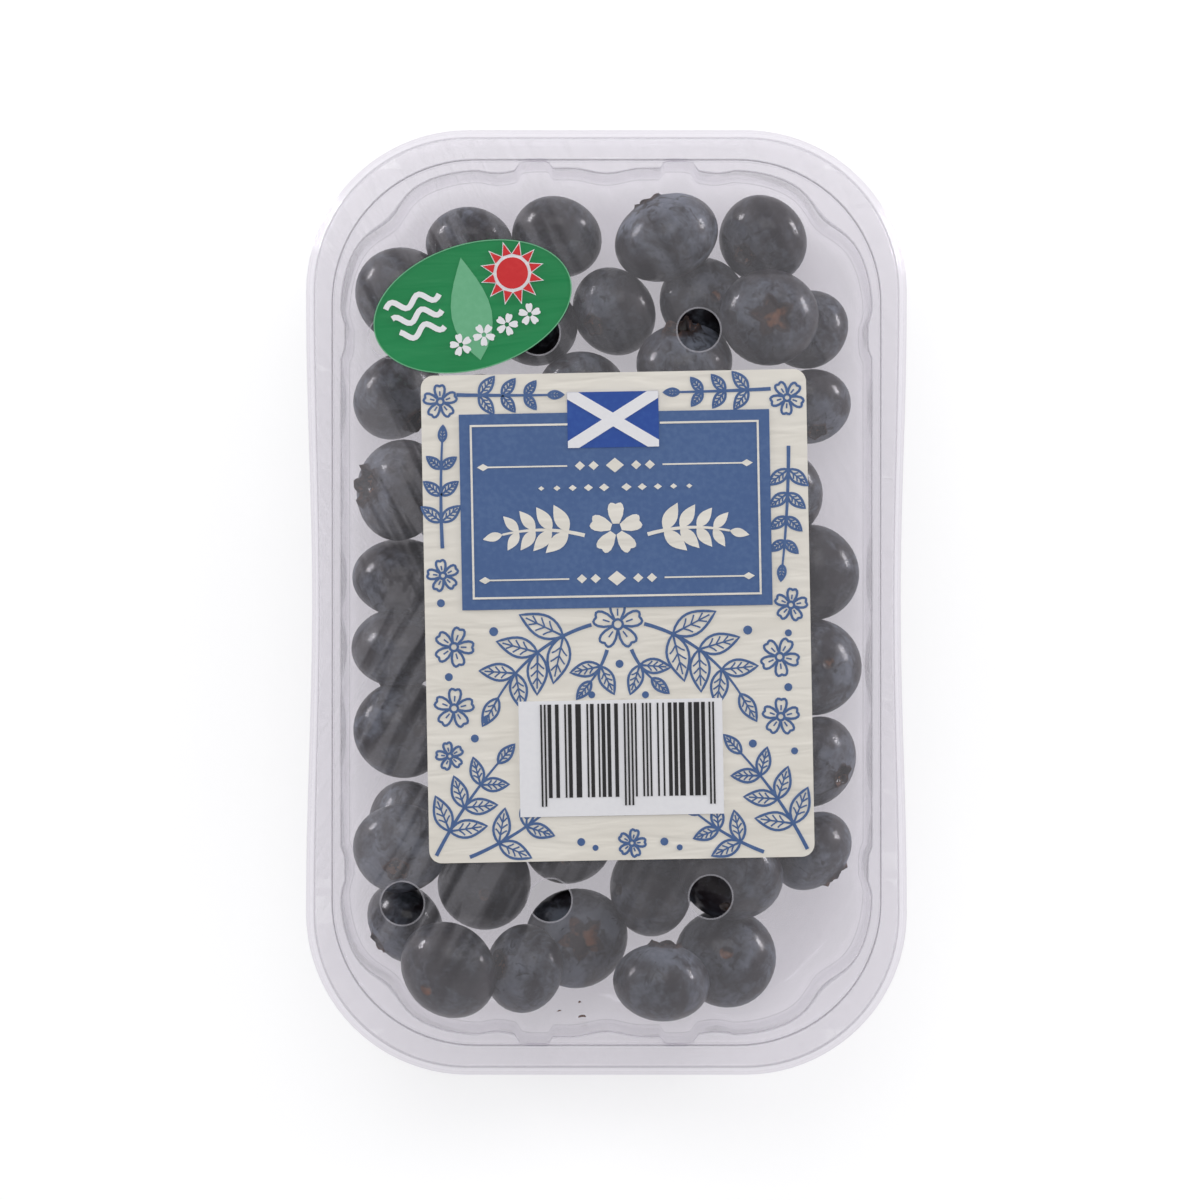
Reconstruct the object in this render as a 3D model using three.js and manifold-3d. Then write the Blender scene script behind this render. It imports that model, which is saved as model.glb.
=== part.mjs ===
// A clear plastic punnet of blueberries. A clear film with vent holes is sealed over the tray, and it carries
// a paper label and an oval sticker. Millimetres: the origin is the middle of the underside, +Z is up and +Y
// runs along the long side.
import * as THREE from 'three';
import { ConvexGeometry } from 'three/addons/geometries/ConvexGeometry.js';
import { mergeVertices } from 'three/addons/utils/BufferGeometryUtils.js';
import Module from 'manifold-3d';

const manifold = await Module();
manifold.setup();

// Driving sizes of the tray
const RIM_HALF_WIDTH = 59.5;
const RIM_HALF_LENGTH = 93.5;
const RIM_RADIUS = 32;
const RIM_TOP = 34;
const SHEET = 0.5;
const WAIST = 1.2;
const WAIST_REACH = 61;
const LAND_INNER_HALF_WIDTH = 54;
const LAND_INNER_HALF_LENGTH = 87.2;
const LAND_INNER_RADIUS = 28.3;
const LEDGE_TOP = 31;
const WALL_HALF_WIDTH = 52.3;
const WALL_HALF_LENGTH = 85.2;
const WALL_RADIUS = 27;
const WALL_DRAFT = Math.tan(THREE.MathUtils.degToRad(1.2));
const FLOOR_FILLET = 6.5;
const SKIRT_BOTTOM = 30.4;

// Reliefs moulded into the wall, each as how far it steps out (or, negative, in)
const FLUTE_DEPTH = 0.55;
const FLUTE_PITCH = 14.5;
const END_LUG = { at: 14.4, halfWidth: 2.6, depth: 1.6 };
const SIDE_LUG = { at: 53, halfWidth: 2.8, depth: -0.9 };
const CORNER_DIMPLE = { turn: Math.PI / 4, spread: THREE.MathUtils.degToRad(12), depth: -2.4 };

// Where the outline is sampled in one quarter: the long side, the corner and the short end
const LONG_SIDE_SHARES = [0, 0.4, 0.7, 0.86, 0.89, 0.94, 0.97, 1];
const CORNER_STEPS = 8;
const SHORT_END_SHARES = [1, 0.86, 0.69, 0.64, 0.5, 0.455, 0.28, 0];
const FILLET_STEPS = 3;

// The film, and the label and sticker stuck on it
const FILM = { halfWidth: 57.5, halfLength: 91.5, radius: 30, thickness: 0.25, waist: 0.9 };
const VENT = {
  radius: 4.2,
  turn: THREE.MathUtils.degToRad(1.2),
  columns: [-41.5, -12.35, 19.35],
  rows: [53.4, -58.5],
  sides: 14,
};
const LABEL = { x: 2.2, y: -2.7, width: 76, height: 96.2, radius: 2.5, turn: THREE.MathUtils.degToRad(1.05) };
const STICKER = { x: -26.4, y: 58.4, width: 40.2, height: 24.8, turn: THREE.MathUtils.degToRad(17), sides: 48 };
const PAPER = 0.25;

// The berries. Each row: x, y, width across, then the way its crown faces, as a heading and a lift in degrees.
// They are dropped in this order, so a later one rests on the earlier ones that it crosses.
const BERRY_SQUATNESS = 0.73;
const BERRY_SNUGNESS = 0.95;
const DROP_STEP = 0.25;
const HEAP_CLEARANCE = 0.4;
const BERRIES = [
  // Round the edge, on the floor
  [-27.5, 72, 17.5, 265, 30],
  [-10, 73.5, 18.5, 255, 32],
  [-41, 62, 19.3, 120, -72],
  [1.5, 58.5, 18, 215, 45],
  [-14.5, 56, 17.5, 60, -60],
  [-5, 42.5, 18, 100, -40],
  [19.5, 60.5, 18, 200, -70],
  [31.5, 73, 18.6, 220, 45],
  [40.5, 55, 16.6, -8, 5],
  [41, 39.5, 16.8, 295, 35],
  [28.5, 37.5, 17.5, 30, -60],
  [-42, 41.5, 18.8, -30, 50],
  [-26.5, 37.5, 17.6, 140, -35],
  [-30, 19, 18.5, 80, -50],
  [-41.2, 5, 19.6, 270, -8],
  [-41.2, -9, 19.8, 272, -10],
  [-41, -25.5, 20, 180, -80],
  [-39.5, -45, 18.2, 20, -50],
  [-40.5, -64.5, 17.5, 215, 15],
  [-24.5, -56.5, 19, 90, -75],
  [-8, -48, 18.3, 90, -60],
  [-6, -67.5, 20.4, 0, 80],
  [9, -57.5, 19.3, 0, -32],
  [25, -54.5, 20.6, 80, -41],
  [24, -71.5, 20.2, 270, -80],
  [41.5, -50, 17.3, -45, 15],
  [42, -32, 18.6, -20, 15],
  [42, -13, 19.3, 0, 20],
  [41.5, 6, 19.1, 0, -30],
  [35, 22, 18, 40, -50],
  // Under the label, on the floor
  [-11.5, 24, 18, 10, -40],
  [-24.5, 0.5, 18, 200, 60],
  [-24, -17.5, 17.8, 330, -20],
  [-24, -36, 18.2, 90, 70],
  [-8, 7, 17.6, 160, -65],
  [-8, -11.5, 18, 45, 35],
  [-8, -29.5, 17.8, 250, 15],
  [6.5, 30, 17.8, 300, 60],
  [9, 12.5, 17.6, 120, -30],
  [9, -5.5, 17.8, 20, 75],
  [9, -23, 17.4, 190, -45],
  [9, -40, 17.4, 75, 25],
  [25.5, 5.5, 17.4, 340, -70],
  [25.5, -13, 17.8, 100, 40],
  [25.5, -31, 18, 215, -15],
  // Lying higher, on the others
  [12, 73.2, 21.2, 116, 8],
  [15.5, 48, 19, 95, 25],
  [-41.2, 22.5, 20.4, 172, 33],
  [-16.5, -73.2, 17.6, 170, 40],
  [-31.4, -73.2, 20.2, 40, -45],
  [11, -75.8, 19.4, 85, 5],
  [32.5, 57, 19.6, 0, 86],
  [-41, -49, 19, 265, 45],
  [3.5, 4.5, 18, 140, 55],
  [-13.5, -19.5, 18.4, 20, -60],
  [20, -22.5, 17.8, 260, 30],
  [21, 22, 18.2, 70, 80],
  [-15, 11, 17.8, 310, 20],
  [3.5, -31, 18, 10, -30],
  [-3.5, 32, 17.6, 230, 65],
  [-14, -38, 18.2, 150, 40],
  [19.5, -42.5, 18, 80, -70],
  [30.5, -3.5, 17.6, 45, 10],
  [-27.5, -8, 17.8, 280, 50],
];

// A berry's outline from its stem end to its crown, as shares of its half width and half height
const BERRY_SIDES = 8;
const BERRY_PROFILE = [
  [0, -1],
  [0.55, -0.86],
  [0.92, -0.42],
  [0.97, 0.2],
  [0.68, 0.76],
  [0.36, 0.95],
  [0, 0.8],
];
const CORE_BOTTOM = 3.5;
const CORE_TOP = 10;
const CORE_SHRINK = 0.98;
const CORE_NECK_RADIUS = 4.5;
const UPPER_FROM = 12;

const clearPlastic = new THREE.MeshStandardMaterial({
  name: 'clear plastic', color: 0xdcd9e0, roughness: 0.12, metalness: 0, transparent: true, opacity: 0.35,
});
const clearFilm = new THREE.MeshStandardMaterial({
  name: 'clear film', color: 0xf4f4f6, roughness: 0.08, metalness: 0, transparent: true, opacity: 0.2,
});
const labelPaper = new THREE.MeshStandardMaterial({
  name: 'label paper', color: 0xe9e5dc, roughness: 0.6, metalness: 0,
});
const stickerPaper = new THREE.MeshStandardMaterial({
  name: 'sticker paper', color: 0x2a9a55, roughness: 0.45, metalness: 0,
});
const berrySkin = new THREE.MeshStandardMaterial({
  name: 'berry skin', color: 0x3b4058, roughness: 0.55, metalness: 0,
});

// How far the long side of the rim is drawn in at a place along it
function waistAt(y) {
  if (Math.abs(y) >= WAIST_REACH) return 0;
  return WAIST * Math.cos(Math.PI / 2 * y / WAIST_REACH) ** 2;
}

// A lug's flat top with sloping flanks
function lugAt(place, lug) {
  const flank = 1.2;
  return lug.depth * THREE.MathUtils.clamp((lug.halfWidth + flank - Math.abs(place - lug.at)) / flank, 0, 1);
}

// The flutes of a short end: a hollow in the middle, a flat with its lug on either side, then a hollow again
function endRelief(x) {
  const half = FLUTE_PITCH / 2;
  const place = Math.abs(x) < half ? Math.abs(x) : Math.max(Math.abs(x) - half, half);
  return -FLUTE_DEPTH * Math.cos(2 * Math.PI * place / FLUTE_PITCH) + lugAt(Math.abs(x), END_LUG);
}

function cornerRelief(turn) {
  const away = (turn - CORNER_DIMPLE.turn) / CORNER_DIMPLE.spread;
  return CORNER_DIMPLE.depth * Math.exp(-away * away);
}

// One quarter of a ring, from the middle of the long side to the middle of the short end
function quarterOutline({ halfWidth, halfLength, radius, relief = 0, waist = 0 }) {
  const straightX = halfWidth - radius;
  const straightY = halfLength - radius;
  const points = [];
  for (const share of LONG_SIDE_SHARES) {
    const y = share * straightY;
    points.push([halfWidth - waist * waistAt(y) + relief * lugAt(y, SIDE_LUG), y]);
  }
  for (let step = 1; step < CORNER_STEPS; step++) {
    const turn = step / CORNER_STEPS * Math.PI / 2;
    const reach = radius + relief * cornerRelief(turn);
    points.push([straightX + reach * Math.cos(turn), straightY + reach * Math.sin(turn)]);
  }
  for (const share of SHORT_END_SHARES) {
    const x = share * straightX;
    points.push([x, halfLength + relief * endRelief(x)]);
  }
  return points;
}

// A whole ring, anticlockwise seen from above
function outline(ring) {
  const quarter = quarterOutline(ring);
  const back = quarter.slice().reverse();
  return [
    ...quarter,
    ...back.slice(1).map(([x, y]) => [-x, y]),
    ...quarter.slice(1).map(([x, y]) => [-x, -y]),
    ...back.slice(1, -1).map(([x, y]) => [x, -y]),
  ];
}

// A wall ring at a height, stepped out from the inner face
function wallRing(z, out) {
  const drawnIn = WALL_DRAFT * (LEDGE_TOP - z);
  return {
    halfWidth: WALL_HALF_WIDTH - drawnIn + out,
    halfLength: WALL_HALF_LENGTH - drawnIn + out,
    radius: WALL_RADIUS - drawnIn + out,
    relief: 1,
    z,
  };
}

// The rings of the rounded edge between wall and floor, from the floor up
function filletRings(radius, out) {
  const foot = wallRing(FLOOR_FILLET, out);
  const rings = [];
  for (let step = 0; step <= FILLET_STEPS; step++) {
    const turn = step / FILLET_STEPS * Math.PI / 2;
    const inset = radius * (1 - Math.sin(turn));
    rings.push({
      halfWidth: foot.halfWidth - inset,
      halfLength: foot.halfLength - inset,
      radius: foot.radius - inset,
      relief: Math.sin(turn),
      z: FLOOR_FILLET - radius * Math.cos(turn),
    });
  }
  return rings;
}

// A ring of the rim, a step in from its outermost edge
function rimRing(inset, z, waist = 1) {
  return {
    halfWidth: RIM_HALF_WIDTH - inset,
    halfLength: RIM_HALF_LENGTH - inset,
    radius: RIM_RADIUS - inset,
    waist,
    z,
  };
}

// A ring where the land turns down to the ledge, stepped out from the land's inner edge
function landRing(out, z) {
  return {
    halfWidth: LAND_INNER_HALF_WIDTH + out,
    halfLength: LAND_INNER_HALF_LENGTH + out,
    radius: LAND_INNER_RADIUS + out,
    z,
  };
}

// The bowl's rings, up the outside and down the inside, to where the rim starts
function bowlRings() {
  return [
    ...filletRings(FLOOR_FILLET, SHEET),
    wallRing(LEDGE_TOP - SHEET, SHEET),
    wallRing(LEDGE_TOP - SHEET, 0),
    ...filletRings(FLOOR_FILLET - SHEET, 0).reverse(),
  ];
}

// The rings once round the rim's section: under the ledge, up to the land, over the rolled edge and back
function rimRings() {
  return [
    wallRing(LEDGE_TOP - SHEET, 0),
    wallRing(LEDGE_TOP - SHEET, SHEET),
    landRing(SHEET / 2, LEDGE_TOP - SHEET),
    landRing(SHEET / 2, RIM_TOP - SHEET),
    rimRing(2.1, RIM_TOP - 1.2 * SHEET, 0.7),
    rimRing(1, SKIRT_BOTTOM),
    rimRing(0.2, SKIRT_BOTTOM - 0.5),
    rimRing(0, SKIRT_BOTTOM - 0.2),
    rimRing(0.2, SKIRT_BOTTOM + 0.1),
    rimRing(0.6, SKIRT_BOTTOM + 0.3),
    rimRing(1.3, RIM_TOP - 0.5, 0.9),
    rimRing(1.8, RIM_TOP, 0.8),
    landRing(0, RIM_TOP),
    landRing(-0.2, RIM_TOP - 0.2),
    landRing(-0.2, LEDGE_TOP),
    wallRing(LEDGE_TOP, 0),
  ];
}

// The vertices of rings, and the faces between each ring and the next
function ringMesh(rings, levels) {
  const outlines = rings.map(outline);
  const count = outlines[0].length;
  const positions = [];
  outlines.forEach((points, level) => points.forEach(([x, y]) => positions.push(x, y, rings[level].z)));
  const at = (level, place) => (level % rings.length) * count + place % count;
  const faces = [];
  for (let place = 0; place < count; place++) {
    for (let level = 0; level < levels; level++) {
      faces.push(at(level, place), at(level, place + 1), at(level + 1, place + 1));
      faces.push(at(level, place), at(level + 1, place + 1), at(level + 1, place));
    }
  }
  return { positions, faces, count, at };
}

function geometryOf(positions, faces) {
  const geometry = new THREE.BufferGeometry();
  geometry.setAttribute('position', new THREE.Float32BufferAttribute(positions, 3));
  geometry.setIndex(faces);
  geometry.computeVertexNormals();
  return geometry;
}

// A closed shell through rings, capped at both ends by a fan about the middle
function cappedLoft(rings) {
  const last = rings.length - 1;
  const { positions, faces, count, at } = ringMesh(rings, last);
  positions.push(0, 0, rings[0].z, 0, 0, rings[last].z);
  const start = rings.length * count;
  for (let place = 0; place < count; place++) {
    faces.push(start, at(0, place + 1), at(0, place));
    faces.push(start + 1, at(last, place), at(last, place + 1));
  }
  return geometryOf(positions, faces);
}

// A closed hoop, whose last ring joins its first
function hoopLoft(rings) {
  const { positions, faces } = ringMesh(rings, rings.length);
  return geometryOf(positions, faces);
}

// A thin flat sheet of an outline, with its underside at a height
function sheet(shape, thickness, bottom, curveSegments = 4) {
  const geometry = new THREE.ExtrudeGeometry(shape, { depth: thickness, bevelEnabled: false, curveSegments });
  return geometry.translate(0, 0, bottom);
}

function filmGeometry() {
  const shape = new THREE.Shape(outline(FILM).map(([x, y]) => new THREE.Vector2(x, y)));
  const middle = new THREE.Vector2();
  for (const row of VENT.rows) {
    for (const column of VENT.columns) {
      const centre = new THREE.Vector2(column, row).rotateAround(middle, VENT.turn);
      const rim = [];
      for (let side = 0; side < VENT.sides; side++) {
        const turn = -side / VENT.sides * 2 * Math.PI;
        rim.push(new THREE.Vector2(VENT.radius * Math.cos(turn), VENT.radius * Math.sin(turn)).add(centre));
      }
      shape.holes.push(new THREE.Path(rim));
    }
  }
  return sheet(shape, FILM.thickness, RIM_TOP);
}

function labelGeometry() {
  const x = LABEL.width / 2;
  const y = LABEL.height / 2;
  const r = LABEL.radius;
  const shape = new THREE.Shape();
  shape.moveTo(r - x, -y);
  shape.lineTo(x - r, -y);
  shape.absarc(x - r, r - y, r, -Math.PI / 2, 0);
  shape.lineTo(x, y - r);
  shape.absarc(x - r, y - r, r, 0, Math.PI / 2);
  shape.lineTo(r - x, y);
  shape.absarc(r - x, y - r, r, Math.PI / 2, Math.PI);
  shape.lineTo(-x, r - y);
  shape.absarc(r - x, r - y, r, Math.PI, 1.5 * Math.PI);
  const geometry = sheet(shape, PAPER, RIM_TOP + FILM.thickness);
  return geometry.rotateZ(LABEL.turn).translate(LABEL.x, LABEL.y, 0);
}

function stickerGeometry() {
  const shape = new THREE.Shape();
  shape.absellipse(0, 0, STICKER.width / 2, STICKER.height / 2, 0, 2 * Math.PI);
  const geometry = sheet(shape, PAPER, RIM_TOP + FILM.thickness, STICKER.sides / 2);
  return geometry.rotateZ(STICKER.turn).translate(STICKER.x, STICKER.y, 0);
}

// How far a berry's surface is from its middle, in a direction
function reachOf(berry, direction) {
  const along = berry.crown.dot(direction) ** 2;
  return 1 / Math.sqrt((1 - along) / berry.halfWidth ** 2 + along / berry.halfHeight ** 2);
}

// How far a berry stands above and below its middle
function standOf(berry) {
  const up = berry.crown.z ** 2;
  return Math.sqrt((1 - up) * berry.halfWidth ** 2 + up * berry.halfHeight ** 2);
}

function overlaps(berry, other) {
  const between = new THREE.Vector3().subVectors(berry.middle, other.middle);
  const distance = between.length();
  between.normalize();
  return distance < BERRY_SNUGNESS * (reachOf(berry, between) + reachOf(other, between));
}

// The berries where they come to rest, each dropped onto the floor and raised until it clears the others
function settledBerries() {
  const settled = [];
  for (const [x, y, across, heading, lift] of BERRIES) {
    const turn = THREE.MathUtils.degToRad(heading);
    const rise = THREE.MathUtils.degToRad(lift);
    const crown = new THREE.Vector3(
      Math.cos(rise) * Math.cos(turn),
      Math.cos(rise) * Math.sin(turn),
      Math.sin(rise),
    );
    const berry = { halfWidth: across / 2, halfHeight: across / 2 * BERRY_SQUATNESS, crown };
    const stand = standOf(berry);
    const highest = RIM_TOP - HEAP_CLEARANCE - stand;
    berry.middle = new THREE.Vector3(x, y, SHEET + HEAP_CLEARANCE + stand);
    while (berry.middle.z < highest && settled.some((other) => overlaps(berry, other))) {
      berry.middle.z = Math.min(berry.middle.z + DROP_STEP, highest);
    }
    settled.push(berry);
  }
  return settled;
}

function berryGeometry(berry) {
  const profile = BERRY_PROFILE.map(([out, up]) => (
    new THREE.Vector2(out * berry.halfWidth, up * berry.halfHeight)
  ));
  const turn = new THREE.Quaternion().setFromUnitVectors(new THREE.Vector3(0, 1, 0), berry.crown);
  const geometry = new THREE.LatheGeometry(profile, BERRY_SIDES);
  return geometry.applyQuaternion(turn).translate(berry.middle.x, berry.middle.y, berry.middle.z);
}

// The core that holds the heap together: a slab inside the lowest berries, and a neck up into each higher one
function coreGeometries(berries) {
  const corners = [];
  for (const { middle } of berries.filter(({ middle: { z } }) => z < UPPER_FROM)) {
    for (const z of [CORE_BOTTOM, CORE_TOP]) {
      corners.push(new THREE.Vector3(middle.x * CORE_SHRINK, middle.y * CORE_SHRINK, z));
    }
  }
  const necks = berries.filter(({ middle: { z } }) => z >= UPPER_FROM).map(({ middle }) => {
    const height = middle.z - CORE_BOTTOM;
    const neck = new THREE.CylinderGeometry(CORE_NECK_RADIUS, CORE_NECK_RADIUS, height, 6);
    return neck.rotateX(Math.PI / 2).translate(middle.x, middle.y, CORE_BOTTOM + height / 2);
  });
  return [new ConvexGeometry(corners), ...necks];
}

function solidOf(geometry) {
  const bare = geometry.clone();
  bare.deleteAttribute('normal');
  bare.deleteAttribute('uv');
  const merged = mergeVertices(bare, 1e-4);
  return new manifold.Manifold(new manifold.Mesh({
    numProp: 3,
    vertProperties: Float32Array.from(merged.attributes.position.array),
    triVerts: Uint32Array.from(merged.index.array),
  }));
}

// The fused heap. A hollow sealed by the fusing is an inside-out piece of the result, and is left out.
function heapGeometry() {
  const berries = settledBerries();
  const solids = [...berries.map(berryGeometry), ...coreGeometries(berries)].map(solidOf);
  const fused = manifold.Manifold.union(solids);
  const [largest] = fused.decompose().sort((a, b) => b.volume() - a.volume());
  const mesh = largest.getMesh();
  const geometry = new THREE.BufferGeometry();
  geometry.setAttribute('position', new THREE.BufferAttribute(Float32Array.from(mesh.vertProperties), 3));
  geometry.setIndex(new THREE.BufferAttribute(Uint32Array.from(mesh.triVerts), 1));
  geometry.computeVertexNormals();
  return geometry;
}

function addPiece(group, name, geometry, material) {
  const piece = new THREE.Mesh(geometry, material);
  piece.name = name;
  group.add(piece);
}

const punnet = new THREE.Group();
addPiece(punnet, 'tray', cappedLoft(bowlRings()), clearPlastic);
addPiece(punnet, 'rim', hoopLoft(rimRings()), clearPlastic);
addPiece(punnet, 'film', filmGeometry(), clearFilm);
addPiece(punnet, 'label', labelGeometry(), labelPaper);
addPiece(punnet, 'sticker', stickerGeometry(), stickerPaper);
addPiece(punnet, 'berries', heapGeometry(), berrySkin);

export default punnet;
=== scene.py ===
"""Dresses a clear sealed punnet of blueberries around its solid model and sets up its picture.

Sizes are in millimetres in the classes below, and become metres when a mesh is made.
"""
from __future__ import annotations

import logging
import math
import random
from dataclasses import astuple, dataclass, field, replace
from enum import Enum
from typing import Any, Iterable, Sequence

import bpy
import numpy as np
from mathutils import Euler, Matrix, Quaternion, Vector
from mathutils.geometry import tessellate_polygon

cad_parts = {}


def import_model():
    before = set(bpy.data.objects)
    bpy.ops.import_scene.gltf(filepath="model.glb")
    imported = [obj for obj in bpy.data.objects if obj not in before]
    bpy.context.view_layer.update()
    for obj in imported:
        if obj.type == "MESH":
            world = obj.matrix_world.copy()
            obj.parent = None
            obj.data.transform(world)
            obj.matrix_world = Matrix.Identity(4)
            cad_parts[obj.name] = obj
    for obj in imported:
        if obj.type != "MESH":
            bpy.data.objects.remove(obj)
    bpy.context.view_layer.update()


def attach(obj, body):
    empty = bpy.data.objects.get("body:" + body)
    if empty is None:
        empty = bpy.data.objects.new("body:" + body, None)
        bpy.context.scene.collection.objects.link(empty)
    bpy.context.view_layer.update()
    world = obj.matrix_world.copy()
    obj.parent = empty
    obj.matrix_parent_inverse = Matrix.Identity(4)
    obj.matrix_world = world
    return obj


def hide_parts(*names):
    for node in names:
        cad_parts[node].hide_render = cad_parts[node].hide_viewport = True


LOG = logging.getLogger("punnet")
MM = 0.001
FULL_TURN = 2 * math.pi
BODY = "root"
Colour = tuple[float, float, float]
Point = tuple[float, float]
Corner = tuple[float, float, float]
Face = tuple[int, ...]


def shade(red: int, green: int, blue: int) -> Colour:
    """Gives the linear colour of an eight-bit screen colour."""
    return tuple(
        part / 12.92 if part <= 0.04045 else ((part + 0.055) / 1.055) ** 2.4
        for part in (red / 255, green / 255, blue / 255)
    )


# Shader building

class Value:
    """A shader output in an expression, where +, -, * and / add the Math nodes."""

    def __init__(self, paint: Paint, socket: bpy.types.NodeSocket) -> None:
        """Keeps the output and the material that it belongs to."""
        self.paint = paint
        self.socket = socket

    def __add__(self, other: Value | float) -> Value:
        """Adds."""
        return self.paint.math("ADD", self, other)

    def __radd__(self, other: float) -> Value:
        """Adds, from the right."""
        return self.paint.math("ADD", other, self)

    def __sub__(self, other: Value | float) -> Value:
        """Subtracts."""
        return self.paint.math("SUBTRACT", self, other)

    def __rsub__(self, other: float) -> Value:
        """Subtracts from a number."""
        return self.paint.math("SUBTRACT", other, self)

    def __mul__(self, other: Value | float) -> Value:
        """Multiplies."""
        return self.paint.math("MULTIPLY", self, other)

    def __rmul__(self, other: float) -> Value:
        """Multiplies, from the right."""
        return self.paint.math("MULTIPLY", other, self)

    def __truediv__(self, other: Value | float) -> Value:
        """Divides."""
        return self.paint.math("DIVIDE", self, other)

    def __pow__(self, power: float) -> Value:
        """Raises to a power."""
        return self.paint.math("POWER", self, power)


def add_node(
    tree: bpy.types.NodeTree, kind: str, settings: dict[str, Any] | None = None, sockets: dict | None = None,
) -> bpy.types.Node:
    """Adds a node to a tree.

    Args:
        tree: the tree.
        kind: the node's type.
        settings: its properties, set first; "stops" are a ramp's (place, colour) pairs.
        sockets: values or links by input name or index.

    Returns:
        The node.
    """
    made = tree.nodes.new(kind)
    for key, setting in (settings or {}).items():
        if key == "stops":
            for stop, (place, colour) in zip(made.color_ramp.elements, setting):
                stop.position = place
                stop.color = (*colour, 1.0)
        else:
            setattr(made, key, setting)
    for key, value in (sockets or {}).items():
        given = value.socket if isinstance(value, Value) else value
        if isinstance(given, bpy.types.NodeSocket):
            tree.links.new(given, made.inputs[key])
        elif isinstance(given, tuple) and made.inputs[key].type == "RGBA":
            made.inputs[key].default_value = (*given, 1.0)
        else:
            made.inputs[key].default_value = given
    return made


class Paint:
    """A material under construction."""

    def __init__(self, name: str) -> None:
        """Starts an empty node material.

        Args:
            name: the material's name.
        """
        self.material = bpy.data.materials.new(name)
        self.material.use_nodes = True
        self.tree = self.material.node_tree
        self.tree.nodes.clear()

    def value(
        self, kind: str, settings: dict[str, Any] | None = None, sockets: dict | None = None, output: int | str = 0,
    ) -> Value:
        """Adds a node and gives one of its outputs.

        Args:
            kind: the node's type.
            settings: its properties.
            sockets: values or links by input name or index.
            output: the output's name or index.

        Returns:
            The output.
        """
        return Value(self, add_node(self.tree, kind, settings, sockets).outputs[output])

    def math(self, operation: str, first: Value | float, second: Value | float) -> Value:
        """Adds a Math node and gives its result."""
        return self.value("ShaderNodeMath", {"operation": operation}, {0: first, 1: second})

    def place(self) -> Value:
        """Gives the object's own coordinates, in metres."""
        return self.value("ShaderNodeTexCoord", output="Object")

    def vector(self, name: str) -> Value:
        """Gives a vector attribute of the mesh."""
        return self.value("ShaderNodeAttribute", {"attribute_name": name}, output="Vector")

    def number(self, name: str) -> Value:
        """Gives a number attribute of the mesh."""
        return self.value("ShaderNodeAttribute", {"attribute_name": name}, output="Fac")

    def parts(self, vector: Value) -> tuple[Value, Value, Value]:
        """Splits a vector into its three numbers."""
        made = add_node(self.tree, "ShaderNodeSeparateXYZ", None, {0: vector})
        return tuple(Value(self, socket) for socket in made.outputs)

    def joined(self, x: Value | float, y: Value | float, z: Value | float) -> Value:
        """Joins three numbers into a vector."""
        return self.value("ShaderNodeCombineXYZ", None, {0: x, 1: y, 2: z})

    def summed(self, first: Value, second: Value) -> Value:
        """Adds two vectors."""
        return self.value("ShaderNodeVectorMath", {"operation": "ADD"}, {0: first, 1: second})

    def mapped(self, vector: Value, turn: float = 0.0, stretch: Corner = (1.0, 1.0, 1.0)) -> Value:
        """Turns a vector about Z and stretches it.

        Args:
            vector: the coordinates.
            turn: the angle in degrees.
            stretch: the scale along each axis.

        Returns:
            The new coordinates.
        """
        sockets = {"Vector": vector, "Rotation": (0.0, 0.0, math.radians(turn)), "Scale": stretch}
        return self.value("ShaderNodeMapping", {"vector_type": "TEXTURE"}, sockets)

    def noise(self, vector: Value, scale: float, detail: float = 2.0, distortion: float = 0.0) -> Value:
        """Adds a noise texture and gives its height, from 0 to 1."""
        sockets = {"Vector": vector, "Scale": scale, "Detail": detail, "Distortion": distortion}
        return self.value("ShaderNodeTexNoise", None, sockets)

    def ramped(self, value: Value, low: float, high: float, start: float = 0.0, end: float = 1.0) -> Value:
        """Eases a value from start to end as it goes from low to high."""
        sockets = {"Value": value, "From Min": low, "From Max": high, "To Min": start, "To Max": end}
        return self.value("ShaderNodeMapRange", {"interpolation_type": "SMOOTHSTEP"}, sockets)

    def blend(self, share: Value | float, first: Value | Colour, second: Value | Colour) -> Value:
        """Mixes two colours."""
        return self.value("ShaderNodeMix", {"data_type": "RGBA"}, {0: share, 6: first, 7: second}, output=2)

    def bump(self, height: Value, strength: float, distance: float) -> Value:
        """Turns a height into a normal; the distance is in metres."""
        sockets = {"Height": height, "Strength": strength, "Distance": distance}
        return self.value("ShaderNodeBump", None, sockets)

    def facing(self) -> Value:
        """Gives 0 on a face seen straight on and 1 on one seen edge on."""
        return self.value("ShaderNodeLayerWeight", None, {"Blend": 0.5}, output="Facing")

    def principled(self, sockets: dict) -> Value:
        """Adds the main shader."""
        return self.value("ShaderNodeBsdfPrincipled", None, sockets)

    def see_through(self, share: Value | float, tint: Colour, surface: Value) -> Value:
        """Mixes a surface over clear see-through.

        Args:
            share: how much of the surface shows.
            tint: the colour of what is seen through it.
            surface: the shader of the surface.

        Returns:
            The mixed shader.
        """
        clear = self.value("ShaderNodeBsdfTransparent", None, {"Color": tint})
        return self.value("ShaderNodeMixShader", None, {0: share, 1: clear, 2: surface})

    def done(self, surface: Value) -> bpy.types.Material:
        """Joins a shader to the output and gives the material."""
        add_node(self.tree, "ShaderNodeOutputMaterial", None, {"Surface": surface})
        return self.material


# Finishes

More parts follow.
